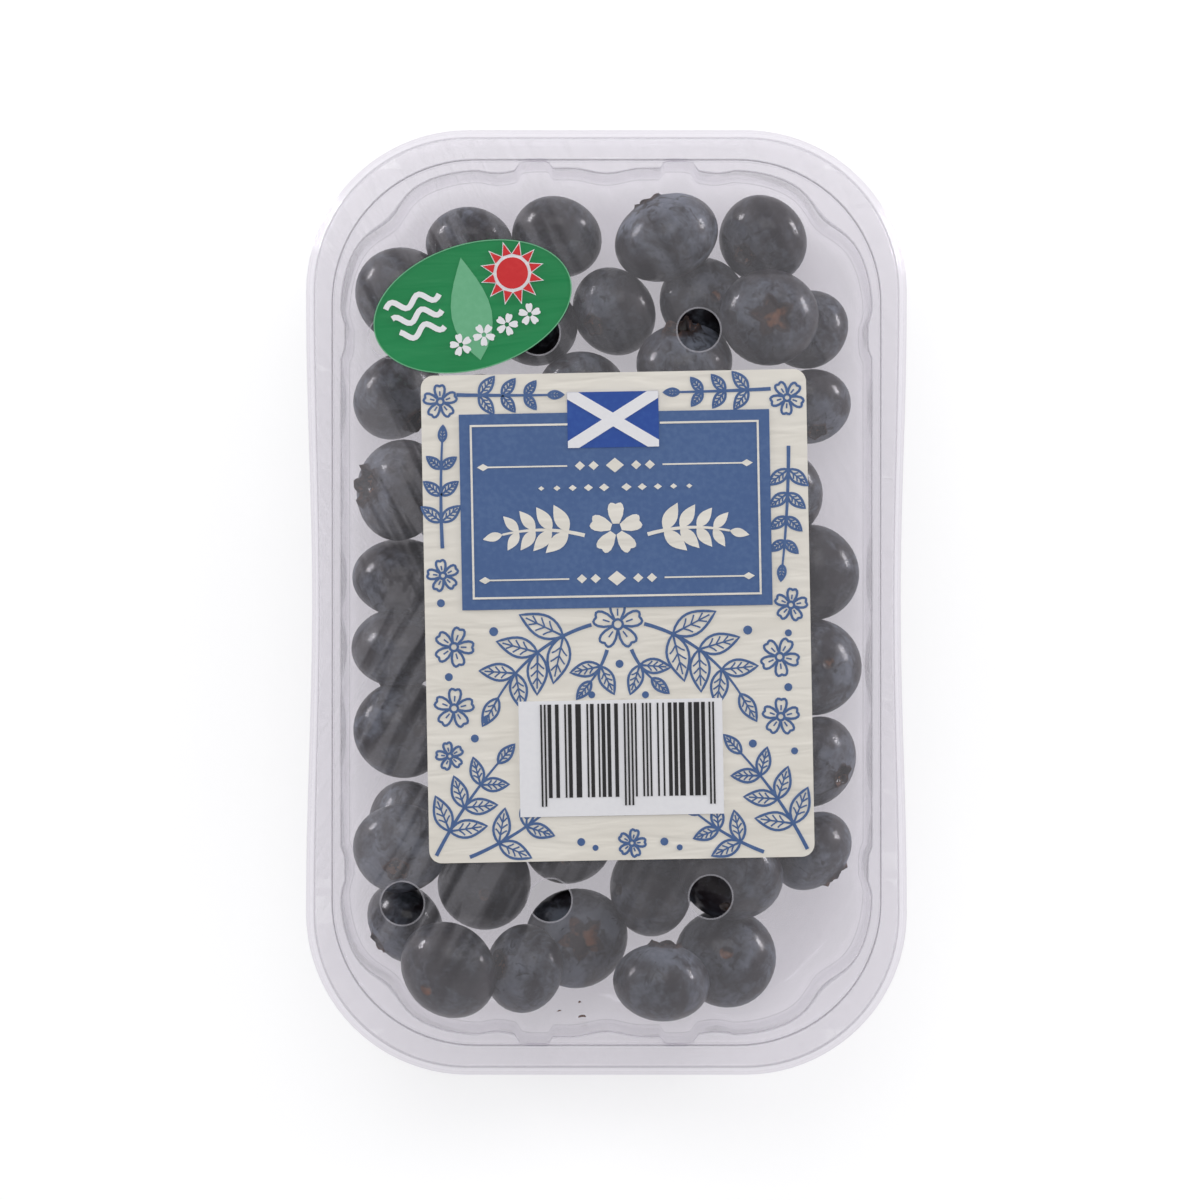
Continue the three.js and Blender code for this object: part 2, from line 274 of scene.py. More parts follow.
@dataclass(frozen=True)
class TrayPlastic:
    """Clear moulded plastic: nearly invisible face on, and mirror-like where it turns edge on, with painted grey
    shade along the bends of its section for the dark lines that refraction draws there.
    """

    tint: Colour = (0.918, 0.905, 0.926)
    body: Colour = shade(214, 211, 220)
    edge_body: Colour = shade(232, 229, 236)
    # The crease colour and weight below paint a grey line of shade along the bends of the section
    crease_body: Colour = shade(120, 117, 126)
    haze: float = 0.03
    glaze: float = 0.05
    edge: float = 0.7
    edge_power: float = 7.0
    mirror: float = 0.85
    crease: float = 0.55
    roughness: float = 0.1
    ripple_scale: float = 70.0

    def material(self) -> bpy.types.Material:
        """Gives the material."""
        paint = Paint("clear_tray_plastic")
        ripple = paint.noise(paint.place(), self.ripple_scale, 1.0)
        edge = paint.facing() ** self.edge_power
        # Painted shade: a grey, more solid line along each bend of the section
        crease = paint.number(CREASE_SHADE)
        body = paint.blend(edge, self.body, self.edge_body)
        gloss = edge * self.edge + self.glaze
        share = gloss + crease * self.crease + self.haze
        surface = paint.principled({
            "Base Color": paint.blend(crease, body, self.crease_body),
            "Metallic": gloss * self.mirror / share * (1.0 - crease),
            "Roughness": self.roughness + ripple * 0.04,
            "IOR": 1.5,
            "Normal": paint.bump(ripple, 0.2, 0.0005),
        })
        return paint.done(paint.see_through(share, self.tint, surface))


@dataclass(frozen=True)
class ClearFilm:
    """Thin clear film: a faint milky veil with tension streaks, glossy at a slant."""

    name: str = "clear_lid_film"
    tint: Colour = (0.985, 0.982, 0.988)
    body: Colour = shade(232, 230, 236)
    veil: float = 0.064
    streak_veil: float = 0.06
    thread_veil: float = 0.026
    edge: float = 0.5
    edge_power: float = 6.0
    roughness: float = 0.08
    # Each set of streaks: the way they run in degrees, their squeeze along it, and their scale
    rising: Corner = (62.0, 0.08, 26.0)
    falling: Corner = (118.0, 0.09, 30.0)
    falling_from: float = -0.012
    falling_full: float = 0.018
    thread_level: float = 0.53
    thread_width: float = 0.014
    streak_from: float = 0.004
    streak_to: float = -0.03
    streak_rest: float = 0.25
    streak_low: float = -0.072
    streak_low_rest: float = 0.2

    def material(self) -> bpy.types.Material:
        """Gives the material."""
        paint = Paint(self.name)
        place = paint.place()
        across, along, _ = paint.parts(place)
        rising, falling = (
            paint.noise(paint.mapped(place, turn, (1.0, squeeze, 1.0)), scale)
            for turn, squeeze, scale in (self.rising, self.falling)
        )
        upper = paint.ramped(along, self.falling_from, self.falling_full)
        strain = rising + (falling - rising) * upper
        streaks = paint.ramped(strain, 0.38, 0.62)
        near_thread = paint.math("ABSOLUTE", strain - self.thread_level, 0.0)
        threads = paint.ramped(near_thread, 0.0, self.thread_width, 1.0, 0.0)
        left = paint.ramped(across, self.streak_from, self.streak_to, self.streak_rest, 1.0)
        left = left * paint.ramped(along, self.streak_low, self.streak_low + 0.01, self.streak_low_rest, 1.0)
        veil = self.veil + ((streaks - 0.5) * self.streak_veil + threads * self.thread_veil) * left
        surface = paint.principled({
            "Base Color": self.body,
            "Roughness": self.roughness,
            "IOR": 1.45,
            "Normal": paint.bump(rising, 0.3, 0.0008),
        })
        share = veil + paint.facing() ** self.edge_power * self.edge
        return paint.done(paint.see_through(share, self.tint, surface))


@dataclass(frozen=True)
class BerrySkin:
    """Dark fruit skin under a patchy waxy bloom, with a brown crown, pit and stem scar."""

    skin: Colour = (0.0035, 0.0034, 0.0050)
    wine: Colour = (0.0075, 0.0042, 0.0060)
    bloom: Colour = (0.135, 0.150, 0.182)
    crown: Colour = (0.024, 0.013, 0.009)
    pit: Colour = (0.013, 0.008, 0.006)
    rust: Colour = (0.21, 0.085, 0.035)
    specular: float = 0.1
    coat: float = 0.4
    coat_roughness: float = 0.17
    patch_scale: float = 1.3
    mottle_scale: float = 6.0
    rub_scale: float = 4.0
    speckle_scale: float = 30.0
    rust_scale: float = 2.8
    spot_scale: float = 6.5
    dent_scale: float = 3.4
    least_bloom: float = 0.25
    more_bloom: float = 0.5
    rub: float = 0.7
    mottle: float = 0.85
    bareness: float = 0.44
    sheltered_bloom: float = 0.3

    def material(self) -> bpy.types.Material:
        """Gives the material."""
        paint = Paint("blueberry_skin")
        tone = paint.number(TONE)
        own = paint.vector(BERRY_PLACE)
        place = paint.summed(own, paint.joined(tone * 31.0, tone * 17.0, tone * 23.0))
        crown, pit, scar = paint.parts(paint.vector(BERRY_ZONE))
        patches = paint.ramped(paint.noise(place, self.patch_scale, 3.0, 0.6), 0.34, 0.66)
        mottle = paint.noise(place, self.mottle_scale, 3.0, 0.4)
        rubs = paint.noise(paint.mapped(place, stretch=(1.0, 1.0, 3.0)), self.rub_scale, 3.0, 1.0)
        rubbed = paint.ramped(rubs, 0.54, 0.70)
        speckle = paint.ramped(paint.noise(place, self.speckle_scale, 1.0), 0.70, 0.78)
        sheltered = paint.ramped(paint.parts(own)[2], 0.3, 0.72, 0.0, self.sheltered_bloom)
        lasting = patches * (self.least_bloom + tone * self.more_bloom) + sheltered
        cover = lasting * (1.0 - rubbed * self.rub) + mottle * self.mottle - self.bareness
        bloom = paint.ramped(cover, -0.05, 1.0)
        colour = paint.blend(patches, self.wine, self.skin)
        colour = paint.blend(bloom + speckle * 0.16, colour, self.bloom)
        rust = paint.ramped(paint.noise(place, self.rust_scale), 0.46, 0.6)
        colour = paint.blend(crown * 0.9, colour, paint.blend(rust * tone * 0.4, self.crown, self.rust))
        spots = paint.ramped(paint.noise(place, self.spot_scale), 0.54, 0.62)
        colour = paint.blend(pit, colour, paint.blend(spots * 0.6, self.pit, self.rust))
        colour = paint.blend(scar, colour, paint.blend(rust, self.crown, self.rust))
        surface = paint.principled({
            "Base Color": colour,
            "Roughness": 0.42 + bloom * 0.4 + crown * 0.2,
            "Specular IOR Level": self.specular,
            "Coat Weight": self.coat * (1.0 - bloom * 0.6) * (1.0 - crown),
            "Coat Roughness": self.coat_roughness,
            "Normal": paint.bump(paint.noise(place, self.dent_scale), 0.35, 0.0006),
        })
        return paint.done(surface)


@dataclass(frozen=True)
class Paper:
    """Coated paper: a base tone with faint mottling, fibres and soft wrinkles."""

    name: str
    tone: Colour
    mottle: Colour
    roughness: float = 0.5
    wrinkle: float = 0.3
    wrinkle_stretch: Corner = (1.0, 0.18, 1.0)
    wrinkle_scale: float = 60.0
    cloud_scale: float = 70.0
    fibre_scale: float = 2600.0

    def material(self) -> bpy.types.Material:
        """Gives the material."""
        paint = Paint(self.name)
        place = paint.place()
        cloud = paint.ramped(paint.noise(place, self.cloud_scale, 3.0), 0.35, 0.7)
        fibre = paint.noise(place, self.fibre_scale)
        creases = paint.mapped(place, 3.0, self.wrinkle_stretch)
        wrinkle = paint.noise(creases, self.wrinkle_scale, distortion=0.4)
        surface = paint.principled({
            "Base Color": paint.blend(cloud * 0.55 + fibre * 0.25, self.tone, self.mottle),
            "Roughness": self.roughness + fibre * 0.12,
            "Normal": paint.bump(wrinkle + fibre * 0.03, self.wrinkle, 0.0009),
        })
        return paint.done(surface)


@dataclass(frozen=True)
class Ink:
    """Printing ink on paper: a flat tone, a little uneven in its cover."""

    name: str
    tone: Colour
    lighter: Colour
    roughness: float = 0.45
    grain_scale: float = 900.0
    cloud_scale: float = 90.0

    def material(self) -> bpy.types.Material:
        """Gives the material."""
        paint = Paint(self.name)
        place = paint.place()
        cover = paint.noise(place, self.grain_scale, 3.0)
        cloud = paint.noise(place, self.cloud_scale)
        thin = paint.ramped(cover + cloud * 0.5, 0.6, 1.0) * 0.5
        surface = paint.principled({
            "Base Color": paint.blend(thin, self.tone, self.lighter),
            "Roughness": self.roughness + cover * 0.1,
        })
        return paint.done(surface)


@dataclass(frozen=True)
class TableTop:
    """The plain pale surface under the pack, lit from within a little, as a white light table is."""

    tone: Colour = (0.62, 0.62, 0.625)
    glow: float = 0.56

    def material(self) -> bpy.types.Material:
        """Gives the material."""
        paint = Paint("pale_table")
        grain = paint.noise(paint.place(), 8.0, 1.0)
        surface = paint.principled({
            "Base Color": self.tone,
            "Roughness": 0.75 + grain * 0.1,
            "Specular IOR Level": 0.1,
            "Emission Color": (1.0, 1.0, 1.0),
            "Emission Strength": self.glow,
        })
        return paint.done(surface)


# Mesh building

def add_piece(
    name: str, vertices: Iterable[Sequence[float]], faces: Iterable[Sequence[int]], material: bpy.types.Material,
) -> bpy.types.Object:
    """Makes a smooth-shaded mesh object at the origin.

    Args:
        name: the piece's name.
        vertices: its points, in metres.
        faces: its faces, as point numbers.
        material: its finish.

    Returns:
        The object, linked to the scene.
    """
    mesh = bpy.data.meshes.new(name)
    mesh.from_pydata([tuple(vertex) for vertex in vertices], [], [tuple(face) for face in faces])
    mesh.materials.append(material)
    mesh.shade_smooth()
    mesh.update()
    piece = bpy.data.objects.new(name, mesh)
    bpy.context.scene.collection.objects.link(piece)
    return piece


def settle(piece: bpy.types.Object, slot: str, *nodes: str) -> bpy.types.Object:
    """Puts a finished piece on the pack's body and reports it.

    Args:
        piece: the finished piece.
        slot: not used.
        nodes: the solid nodes that it stands for.

    Returns:
        The piece.
    """
    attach(piece, BODY)
    if nodes:
        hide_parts(*nodes)
    piece.data.calc_loop_triangles()
    LOG.info("%s: %d triangles", piece.name, len(piece.data.loop_triangles))
    return piece


def way_of(heading: float, lift: float = 0.0) -> Vector:
    """Gives the unit vector at a heading and a lift, in degrees."""
    turn, rise = math.radians(heading), math.radians(lift)
    return Vector((math.cos(rise) * math.cos(turn), math.cos(rise) * math.sin(turn), math.sin(rise)))


def round_points(x: float, y: float, radius: float, sides: int, squash: float = 1.0) -> list[Point]:
    """Gives points on a round, or on an oval where squash isn't 1, anticlockwise."""
    turns = (index / sides * FULL_TURN for index in range(sides))
    return [(x + radius * math.cos(turn), y + radius * squash * math.sin(turn)) for turn in turns]


def plate(loops: Sequence[Sequence[Point]], low: float, high: float) -> tuple[list[Corner], list[Face]]:
    """Gives a flat plate with upright sides.

    Args:
        loops: its outline, anticlockwise, and its holes, clockwise.
        low: the height of its underside.
        high: the height of its top.

    Returns:
        Its vertices and its faces.
    """
    flat = [[Vector((x, y, 0.0)) for x, y in loop] for loop in loops]
    corners = [corner for loop in flat for corner in loop]
    count = len(corners)
    vertices = [(corner.x, corner.y, height) for height in (low, high) for corner in corners]
    faces: list[Face] = []
    for a, b, c in tessellate_polygon(flat):
        if (corners[b] - corners[a]).cross(corners[c] - corners[a]).z < 0:
            b, c = c, b
        faces += [(count + a, count + b, count + c), (c, b, a)]
    start = 0
    for loop in flat:
        for index in range(len(loop)):
            here, after = start + index, start + (index + 1) % len(loop)
            faces.append((here, after, count + after, count + here))
        start += len(loop)
    return vertices, faces


def lofted(rings: Sequence[Sequence[Corner]], first: Corner, last: Corner) -> tuple[list[Corner], list[Face]]:
    """Joins rings of points into a closed skin that ends in a point at each end.

    Args:
        rings: rows of equally many points, anticlockwise seen from above, from the lowest outer one on.
        first: the point that closes the first ring.
        last: the point that closes the last ring.

    Returns:
        Its vertices and its faces.
    """
    count = len(rings[0])
    vertices = [first, *(point for ring in rings for point in ring), last]
    faces: list[Face] = []
    for place in range(count):
        after = (place + 1) % count
        faces.append((0, 1 + after, 1 + place))
        for level in range(len(rings) - 1):
            low = 1 + level * count
            high = low + count
            faces.append((low + place, low + after, high + after, high + place))
        faces.append((len(vertices) - 1, high + place, high + after))
    return vertices, faces


class Strokes:
    """Flat shapes gathered into one thin mesh, each closed, in millimetres."""

    height_step = 0.05
    height_steps = 13

    def __init__(self, thickness: float) -> None:
        """Starts with no shapes; the thickness is that of the ink."""
        self.thickness = thickness
        self.shapes = 0
        self.vertices: list[Corner] = []
        self.faces: list[Face] = []

    def _top(self) -> float:
        """Gives the next shape's height, a hair off the last one's, so that crossing shapes share no face."""
        self.shapes += 1
        return self.thickness * (1 - self.height_step * (self.shapes % self.height_steps))

    def polygon(self, points: Sequence[Point]) -> None:
        """Adds a filled shape, its points anticlockwise."""
        first = len(self.vertices)
        vertices, faces = plate([points], 0.0, self._top())
        self.vertices += vertices
        self.faces += [tuple(first + corner for corner in face) for face in faces]

    def box(self, x: float, y: float, width: float, height: float) -> None:
        """Adds a filled rectangle about a centre."""
        w, h = width / 2, height / 2
        self.polygon([(x - w, y - h), (x + w, y - h), (x + w, y + h), (x - w, y + h)])

    def lozenge(self, x: float, y: float, width: float, height: float) -> None:
        """Adds a filled diamond about a centre."""
        w, h = width / 2, height / 2
        self.polygon([(x, y - h), (x + w, y), (x, y + h), (x - w, y)])

    def disc(self, x: float, y: float, radius: float, sides: int = 16, squash: float = 1.0) -> None:
        """Adds a filled round, or an oval where squash isn't 1."""
        self.polygon(round_points(x, y, radius, sides, squash))

    def ribbon(self, points: Sequence[Point], widths: float | Sequence[float], closed: bool = False) -> None:
        """Adds a line of ink.

        Args:
            points: what the line follows.
            widths: its width, or one for each point.
            closed: whether it goes back to its start.
        """
        count = len(points)
        spread = [widths] * count if isinstance(widths, (int, float)) else list(widths)
        path = [Vector(point) for point in points]
        first = len(self.vertices)
        top = self._top()
        for index, place in enumerate(path):
            before = path[index - 1] if closed or index else place
            after = path[(index + 1) % count] if closed or index < count - 1 else place
            along = (after - before).normalized()
            side = Vector((-along.y, along.x)) * spread[index] / 2
            for sign, height in ((1, 0.0), (-1, 0.0), (-1, top), (1, top)):
                self.vertices.append((place.x + sign * side.x, place.y + sign * side.y, height))
        last = count if closed else count - 1
        for index in range(last):
            here = first + 4 * index
            there = first + 4 * ((index + 1) % count)
            for corner in range(4):
                follow = (corner + 1) % 4
                self.faces.append((there + corner, there + follow, here + follow, here + corner))
        if not closed:
            end = first + 4 * (count - 1)
            self.faces.append((first, first + 1, first + 2, first + 3))
            self.faces.append((end + 3, end + 2, end + 1, end))

    def ring(self, x: float, y: float, radius: float, width: float, sides: int, squash: float = 1.0) -> None:
        """Adds a round line."""
        self.ribbon(round_points(x, y, radius, sides, squash), width, closed=True)

    def piece(self, name: str, finish: bpy.types.Material, matrix: Matrix | None = None) -> bpy.types.Object:
        """Makes the mesh.

        Args:
            name: the piece's name.
            finish: its material.
            matrix: where it goes, from millimetres into metres; without one it stays as drawn.

        Returns:
            The object.
        """
        places = [Vector(vertex) for vertex in self.vertices]
        if matrix is not None:
            places = [matrix @ place for place in places]
        made = add_piece(name, places, self.faces, finish)
        made.data.shade_flat()
        return made


# Scattering by Geometry Nodes

TURN = "scatter_turn"
SIZE = "scatter_size"
KIND = "scatter_kind"
TONE = "scatter_tone"


@dataclass
class Spot:
    """Where one copy goes, in millimetres, and how many millimetres a unit of its source becomes."""

    place: Vector
    size: float
    turn: Euler = field(default_factory=Euler)
    kind: int = 0
    tone: float = 0.0


class Scatter:
    """Sets copies of source pieces on points, by Geometry Nodes, and bakes them to one mesh."""

    def __init__(self) -> None:
        """Builds the node tree, with its copies, finish and scale as named inputs."""
        tree = bpy.data.node_groups.new("scatter_copies", "GeometryNodeTree")
        inputs = (("Points", "Geometry"), ("Copies", "Collection"), ("Finish", "Material"), ("Scale", "Float"))
        for name, kind in inputs:
            tree.interface.new_socket(name, in_out="INPUT", socket_type="NodeSocket" + kind)
        tree.interface.new_socket("Geometry", in_out="OUTPUT", socket_type="NodeSocketGeometry")
        self.tree = tree
        given = add_node(tree, "NodeGroupInput").outputs
        copies = add_node(tree, "GeometryNodeCollectionInfo", None, {
            "Collection": given["Copies"], "Separate Children": True, "Reset Children": True,
        })
        rotation = add_node(tree, "FunctionNodeEulerToRotation", None, {0: self._attribute(TURN, "FLOAT_VECTOR")})
        scale = add_node(tree, "ShaderNodeMath", {"operation": "MULTIPLY"}, {
            0: self._attribute(SIZE, "FLOAT"), 1: given["Scale"],
        })
        placed = add_node(tree, "GeometryNodeInstanceOnPoints", None, {
            "Points": given["Points"],
            "Instance": copies.outputs[0],
            "Pick Instance": True,
            "Instance Index": self._attribute(KIND, "INT"),
            "Rotation": rotation.outputs[0],
            "Scale": scale.outputs[0],
        })
        real = add_node(tree, "GeometryNodeRealizeInstances", None, {0: placed.outputs[0]})
        finished = add_node(tree, "GeometryNodeSetMaterial", None, {
            "Geometry": real.outputs[0], "Material": given["Finish"],
        })
        add_node(tree, "NodeGroupOutput", None, {0: finished.outputs[0]})

    def _attribute(self, name: str, kind: str) -> bpy.types.NodeSocket:
        """Reads an attribute of the points."""
        made = add_node(self.tree, "GeometryNodeInputNamedAttribute", {"data_type": kind}, {"Name": name})
        return made.outputs[0]

    def piece(
        self, name: str, sources: Sequence[bpy.types.Object], spots: Sequence[Spot], finish: bpy.types.Material,
    ) -> bpy.types.Object:
        """Makes one mesh of all the copies, and removes the sources.

        Args:
            name: the piece's name.
            sources: what is copied, in the order of their kinds.
            spots: where the copies go.
            finish: their material.

        Returns:
            The object, with a plain mesh.
        """
        shelf = bpy.data.collections.new(name + "_sources")
        for index, source in enumerate(sources):
            source.name = f"{name}_source_{index:02d}"
            bpy.context.scene.collection.objects.unlink(source)
            shelf.objects.link(source)
        points = bpy.data.meshes.new(name + "_points")
        points.from_pydata([tuple(spot.place * MM) for spot in spots], [], [])
        for key, kind, member, entries in (
            (TURN, "FLOAT_VECTOR", "vector", [part for spot in spots for part in spot.turn]),
            (SIZE, "FLOAT", "value", [spot.size for spot in spots]),
            (KIND, "INT", "value", [spot.kind for spot in spots]),
            (TONE, "FLOAT", "value", [spot.tone for spot in spots]),
        ):
            points.attributes.new(key, kind, "POINT").data.foreach_set(member, entries)
        carrier = bpy.data.objects.new(name, points)
        bpy.context.scene.collection.objects.link(carrier)
        modifier = carrier.modifiers.new("scatter", "NODES")
        modifier.node_group = self.tree
        given = {"Copies": shelf, "Finish": finish, "Scale": MM}
        for item in self.tree.interface.items_tree:
            if item.in_out == "INPUT" and item.name in given:
                modifier[item.identifier] = given[item.name]
        graph = bpy.context.evaluated_depsgraph_get()
        plain = bpy.data.meshes.new_from_object(
            carrier.evaluated_get(graph), preserve_all_data_layers=True, depsgraph=graph
        )
        carrier.modifiers.remove(modifier)
        carrier.data = plain
        plain.name = name
        bpy.data.meshes.remove(points)
        for source in sources:
            bpy.data.objects.remove(source)
        bpy.data.collections.remove(shelf)
        return carrier


# The tray

# A weight on the tray's points that says how much painted grey shade each bend of the section gets
CREASE_SHADE = "tray_crease"


@dataclass(frozen=True)
class Ring:
    """One level of the tray's shell, a rounded rectangle."""

    half_width: float
    half_length: float
    radius: float
    z: float
    relief: float = 0.0
    waist: float = 0.0
    # The crease weight is the painted grey shade at this ring's bend
    crease: float = 0.0

    def toward(self, other: Ring, share: float, crease: float = 0.0) -> Ring:
        """Gives the ring a share of the way to another."""
        mine, theirs = astuple(self)[:-1], astuple(other)[:-1]
        return Ring(*(a + (b - a) * share for a, b in zip(mine, theirs)), crease)

    def grown(self, by: float, z: float, relief: float = 0.0, waist: float = 0.0, crease: float = 0.0) -> Ring:
        """Gives a ring stepped out from this one, at a height of its own."""
        return Ring(self.half_width + by, self.half_length + by, self.radius + by, z, relief, waist, crease)

    def away(self, other: Ring) -> float:
        """Gives how far another ring is, measured on the section."""
        return math.hypot(self.half_width - other.half_width, self.z - other.z)


@dataclass(frozen=True)
class Lug:
    """A stacking lug moulded into the wall."""

    at: float
    half_width: float
    depth: float
    flank: float = 1.2

    def step(self, place: float) -> float:
        """Gives how far it steps the wall out at a place."""
        share = (self.half_width + self.flank - abs(place - self.at)) / self.flank
        return self.depth * min(max(share, 0.0), 1.0)


@dataclass
class Tray:
    """The clear tray: floor, fluted wall, ledge, sealing land and rolled rim, as one thin shell."""

    rim: Ring = Ring(59.5, 93.5, 32.0, 34.0)
    sheet: float = 0.5
    waist: float = 1.2
    waist_reach: float = 61.0
    land: Ring = Ring(54.0, 87.2, 28.3, 0.0)
    ledge_top: float = 31.0
    wall: Ring = Ring(52.3, 85.2, 27.0, 31.0, 1.0)
    draft: float = math.tan(math.radians(1.2))
    fillet: float = 6.5
    skirt_bottom: float = 30.4
    flute_depth: float = 0.55
    flute_pitch: float = 14.5
    end_lug: Lug = Lug(14.4, 2.6, 1.6)
    side_lug: Lug = Lug(53.0, 2.8, -0.9)
    dimple_depth: float = -2.4
    dimple_spread: float = math.radians(12)
    long_steps: int = 36
    corner_steps: int = 22
    short_steps: int = 44
    fillet_steps: int = 7
    bend: float = 0.35
    bend_steps: int = 3

    def _end_relief(self, x: np.ndarray) -> np.ndarray:
        """Gives how far a short end's flutes and lugs step the wall out."""
        half = self.flute_pitch / 2
        away = np.abs(x)
        place = np.where(away < half, away, np.maximum(away - half, half))
        lugs = np.array([self.end_lug.step(value) for value in away])
        return lugs - self.flute_depth * np.cos(FULL_TURN * place / self.flute_pitch)

    def outline(self, ring: Ring) -> np.ndarray:
        """Gives a ring's points, anticlockwise seen from above.

        Args:
            ring: the level.

        Returns:
            An array of x and y, in millimetres.
        """
        straight_x = ring.half_width - ring.radius
        straight_y = ring.half_length - ring.radius
        y = np.linspace(0, straight_y, self.long_steps)
        drawn_in = np.where(y < self.waist_reach, np.cos(math.pi / 2 * y / self.waist_reach) ** 2, 0.0)
        lugs = np.array([self.side_lug.step(value) for value in y])
        x = ring.half_width - ring.waist * self.waist * drawn_in + ring.relief * lugs
        long_side = np.column_stack([x, y])
        turn = np.linspace(0, math.pi / 2, self.corner_steps + 1)[1:-1]
        dent = self.dimple_depth * np.exp(-((turn - math.pi / 4) / self.dimple_spread) ** 2)
        reach = ring.radius + ring.relief * dent
        corner = np.column_stack([straight_x + reach * np.cos(turn), straight_y + reach * np.sin(turn)])
        x = np.linspace(straight_x, 0, self.short_steps)
        short_end = np.column_stack([x, ring.half_length + ring.relief * self._end_relief(x)])
        quarter = np.vstack([long_side, corner, short_end])
        back = quarter[::-1]
        return np.vstack([quarter, back[1:] * [-1, 1], quarter[1:] * [-1, -1], back[1:-1] * [1, -1]])

    def _wall_ring(self, z: float, out: float, crease: float = 0.0) -> Ring:
        """Gives a wall ring at a height, stepped out from the inner face."""
        return self.wall.grown(out - self.draft * (self.ledge_top - z), z, 1.0, crease=crease)

    def _fillet_rings(self, radius: float, out: float) -> list[Ring]:
        """Gives the rings of the rounded edge between floor and wall, from the floor up."""
        foot = self._wall_ring(self.fillet, out)
        rings = []
        for step in range(self.fillet_steps + 1):
            turn = step / self.fillet_steps * math.pi / 2
            inset = radius * (1 - math.sin(turn))
            rings.append(foot.grown(-inset, self.fillet - radius * math.cos(turn), math.sin(turn)))
        return rings

    def _bent(self, rings: list[Ring]) -> list[Ring]:
        """Rounds each bend of the section with a few rings.

        Args:
            rings: the section's corners.

        Returns:
            The section with its bends rounded.
        """
        rounded = [rings[0]]
        for before, here, after in zip(rings, rings[1:], rings[2:]):
            back = min(self.bend / max(here.away(before), 1e-6), 0.4)
            ahead = min(self.bend / max(here.away(after), 1e-6), 0.4)
            start, end = here.toward(before, back), here.toward(after, ahead)
            for step in range(self.bend_steps + 1):
                share = step / self.bend_steps
                # Only a bend's inner rings take its painted shade
                crease = here.crease if 0 < step < self.bend_steps else 0.0
                rounded.append(start.toward(here, share).toward(here.toward(end, share), share, crease))
        return [*rounded, rings[-1]]

    def rings(self) -> list[Ring]:
        """Gives the section, up the outside, over the rim and down the inside."""
        thick, top, skirt = self.sheet, self.rim.z, self.skirt_bottom
        rim, land = self.rim.grown, self.land.grown
        outer = self._fillet_rings(self.fillet, thick)
        inner = self._fillet_rings(self.fillet - thick, 0.0)[::-1]
        # The crease weights in the section paint grey shade at those bends
        section = self._bent([
            outer[-1],
            self._wall_ring(self.ledge_top - thick, thick),
            land(thick / 2, self.ledge_top - thick),
            land(thick / 2, top - thick),
            rim(-2.1, top - 1.2 * thick, waist=0.7),
            rim(-1.0, skirt, waist=1.0),
            rim(-0.2, skirt - 0.5, waist=1.0),
            rim(0.0, skirt - 0.2, waist=1.0),
            rim(-0.2, skirt + 0.1, waist=1.0),
            rim(-0.6, skirt + 0.3, waist=1.0),
            rim(-1.3, top - 0.5, waist=0.9),
            rim(-1.8, top, waist=0.8, crease=0.7),
            land(0.0, top, crease=1.0),
            land(-0.2, top - 0.2),
            land(-0.2, self.ledge_top),
            self._wall_ring(self.ledge_top, 0.0, crease=0.8),
            self._wall_ring(self.fillet + 0.6, 0.0),
            self._wall_ring(self.fillet, 0.0, crease=0.9),
            inner[1],
        ])
        return [*outer[:-1], *section, *inner[2:]]

    def build(self, finish: bpy.types.Material) -> bpy.types.Object:
        """Makes the tray.

        Args:
            finish: its material.

        Returns:
            The piece.
        """
        rings = self.rings()
        points = [[(x, y, ring.z) for x, y in self.outline(ring)] for ring in rings]
        vertices, faces = lofted(points, (0.0, 0.0, rings[0].z), (0.0, 0.0, rings[-1].z))
        piece = add_piece("clear_tray", (np.array(vertices) * MM).tolist(), faces, finish)
        creases = [0.0, *(ring.crease for ring in rings for _ in points[0]), 0.0]
        piece.data.attributes.new(CREASE_SHADE, "FLOAT", "POINT").data.foreach_set("value", creases)
        return piece


# The film

@dataclass
class LidFilm:
    """The film sealed on the land, with its round vent holes and their raised rims, which carry a painted glint."""

    tray: Tray
    outline: Ring = Ring(57.5, 91.5, 30.0, 34.0, waist=0.75)
    thickness: float = 0.1
    vent_radius: float = 4.2
    vent_turn: float = 1.2
    vent_columns: tuple[float, ...] = (-41.5, -12.35, 19.35)
    vent_rows: tuple[float, ...] = (53.4, -58.5)
    vent_sides: int = 64
    rim_width: float = 0.32
    rim_height: float = 0.2

    def vents(self) -> list[Vector]:
        """Gives the middles of the vent holes."""
        spin = Matrix.Rotation(math.radians(self.vent_turn), 2)
        return [spin @ Vector((x, y)) for y in self.vent_rows for x in self.vent_columns]

    def build(self, finish: bpy.types.Material) -> bpy.types.Object:
        """Makes the film.

        Args:
            finish: its material.

        Returns:
            The piece.
        """
        loops = [[tuple(point) for point in self.tray.outline(self.outline)]]
        for vent in self.vents():
            loops.append(round_points(vent.x, vent.y, self.vent_radius, self.vent_sides)[::-1])
        vertices, faces = plate(loops, self.outline.z, self.outline.z + self.thickness)
        piece = add_piece("lid_film", (np.array(vertices) * MM).tolist(), faces, finish)
        piece.data.shade_flat()
        return piece

    def build_rims(self, scatter: Scatter, finish: bpy.types.Material) -> bpy.types.Object:
        """Makes the raised rims of the vent holes, whose milkier finish paints a glint along each cut edge.

        Args:
            scatter: what sets the copies.
            finish: their material.

        Returns:
            The piece.
        """
        rim = Strokes(self.rim_height)
        rim.ring(0.0, 0.0, self.vent_radius + self.rim_width / 2, self.rim_width, self.vent_sides)
        source = rim.piece("rim", finish)
        spots = [Spot(Vector((vent.x, vent.y, self.outline.z)), 1.0) for vent in self.vents()]
        return scatter.piece("vent_rims", [source], spots, finish)


# The berries

BERRY_PLACE = "berry_place"
BERRY_ZONE = "berry_zone"
# A level of a berry: its radius, its height, and how far it is crown, pit and scar
Level = tuple[np.ndarray, np.ndarray, Corner]


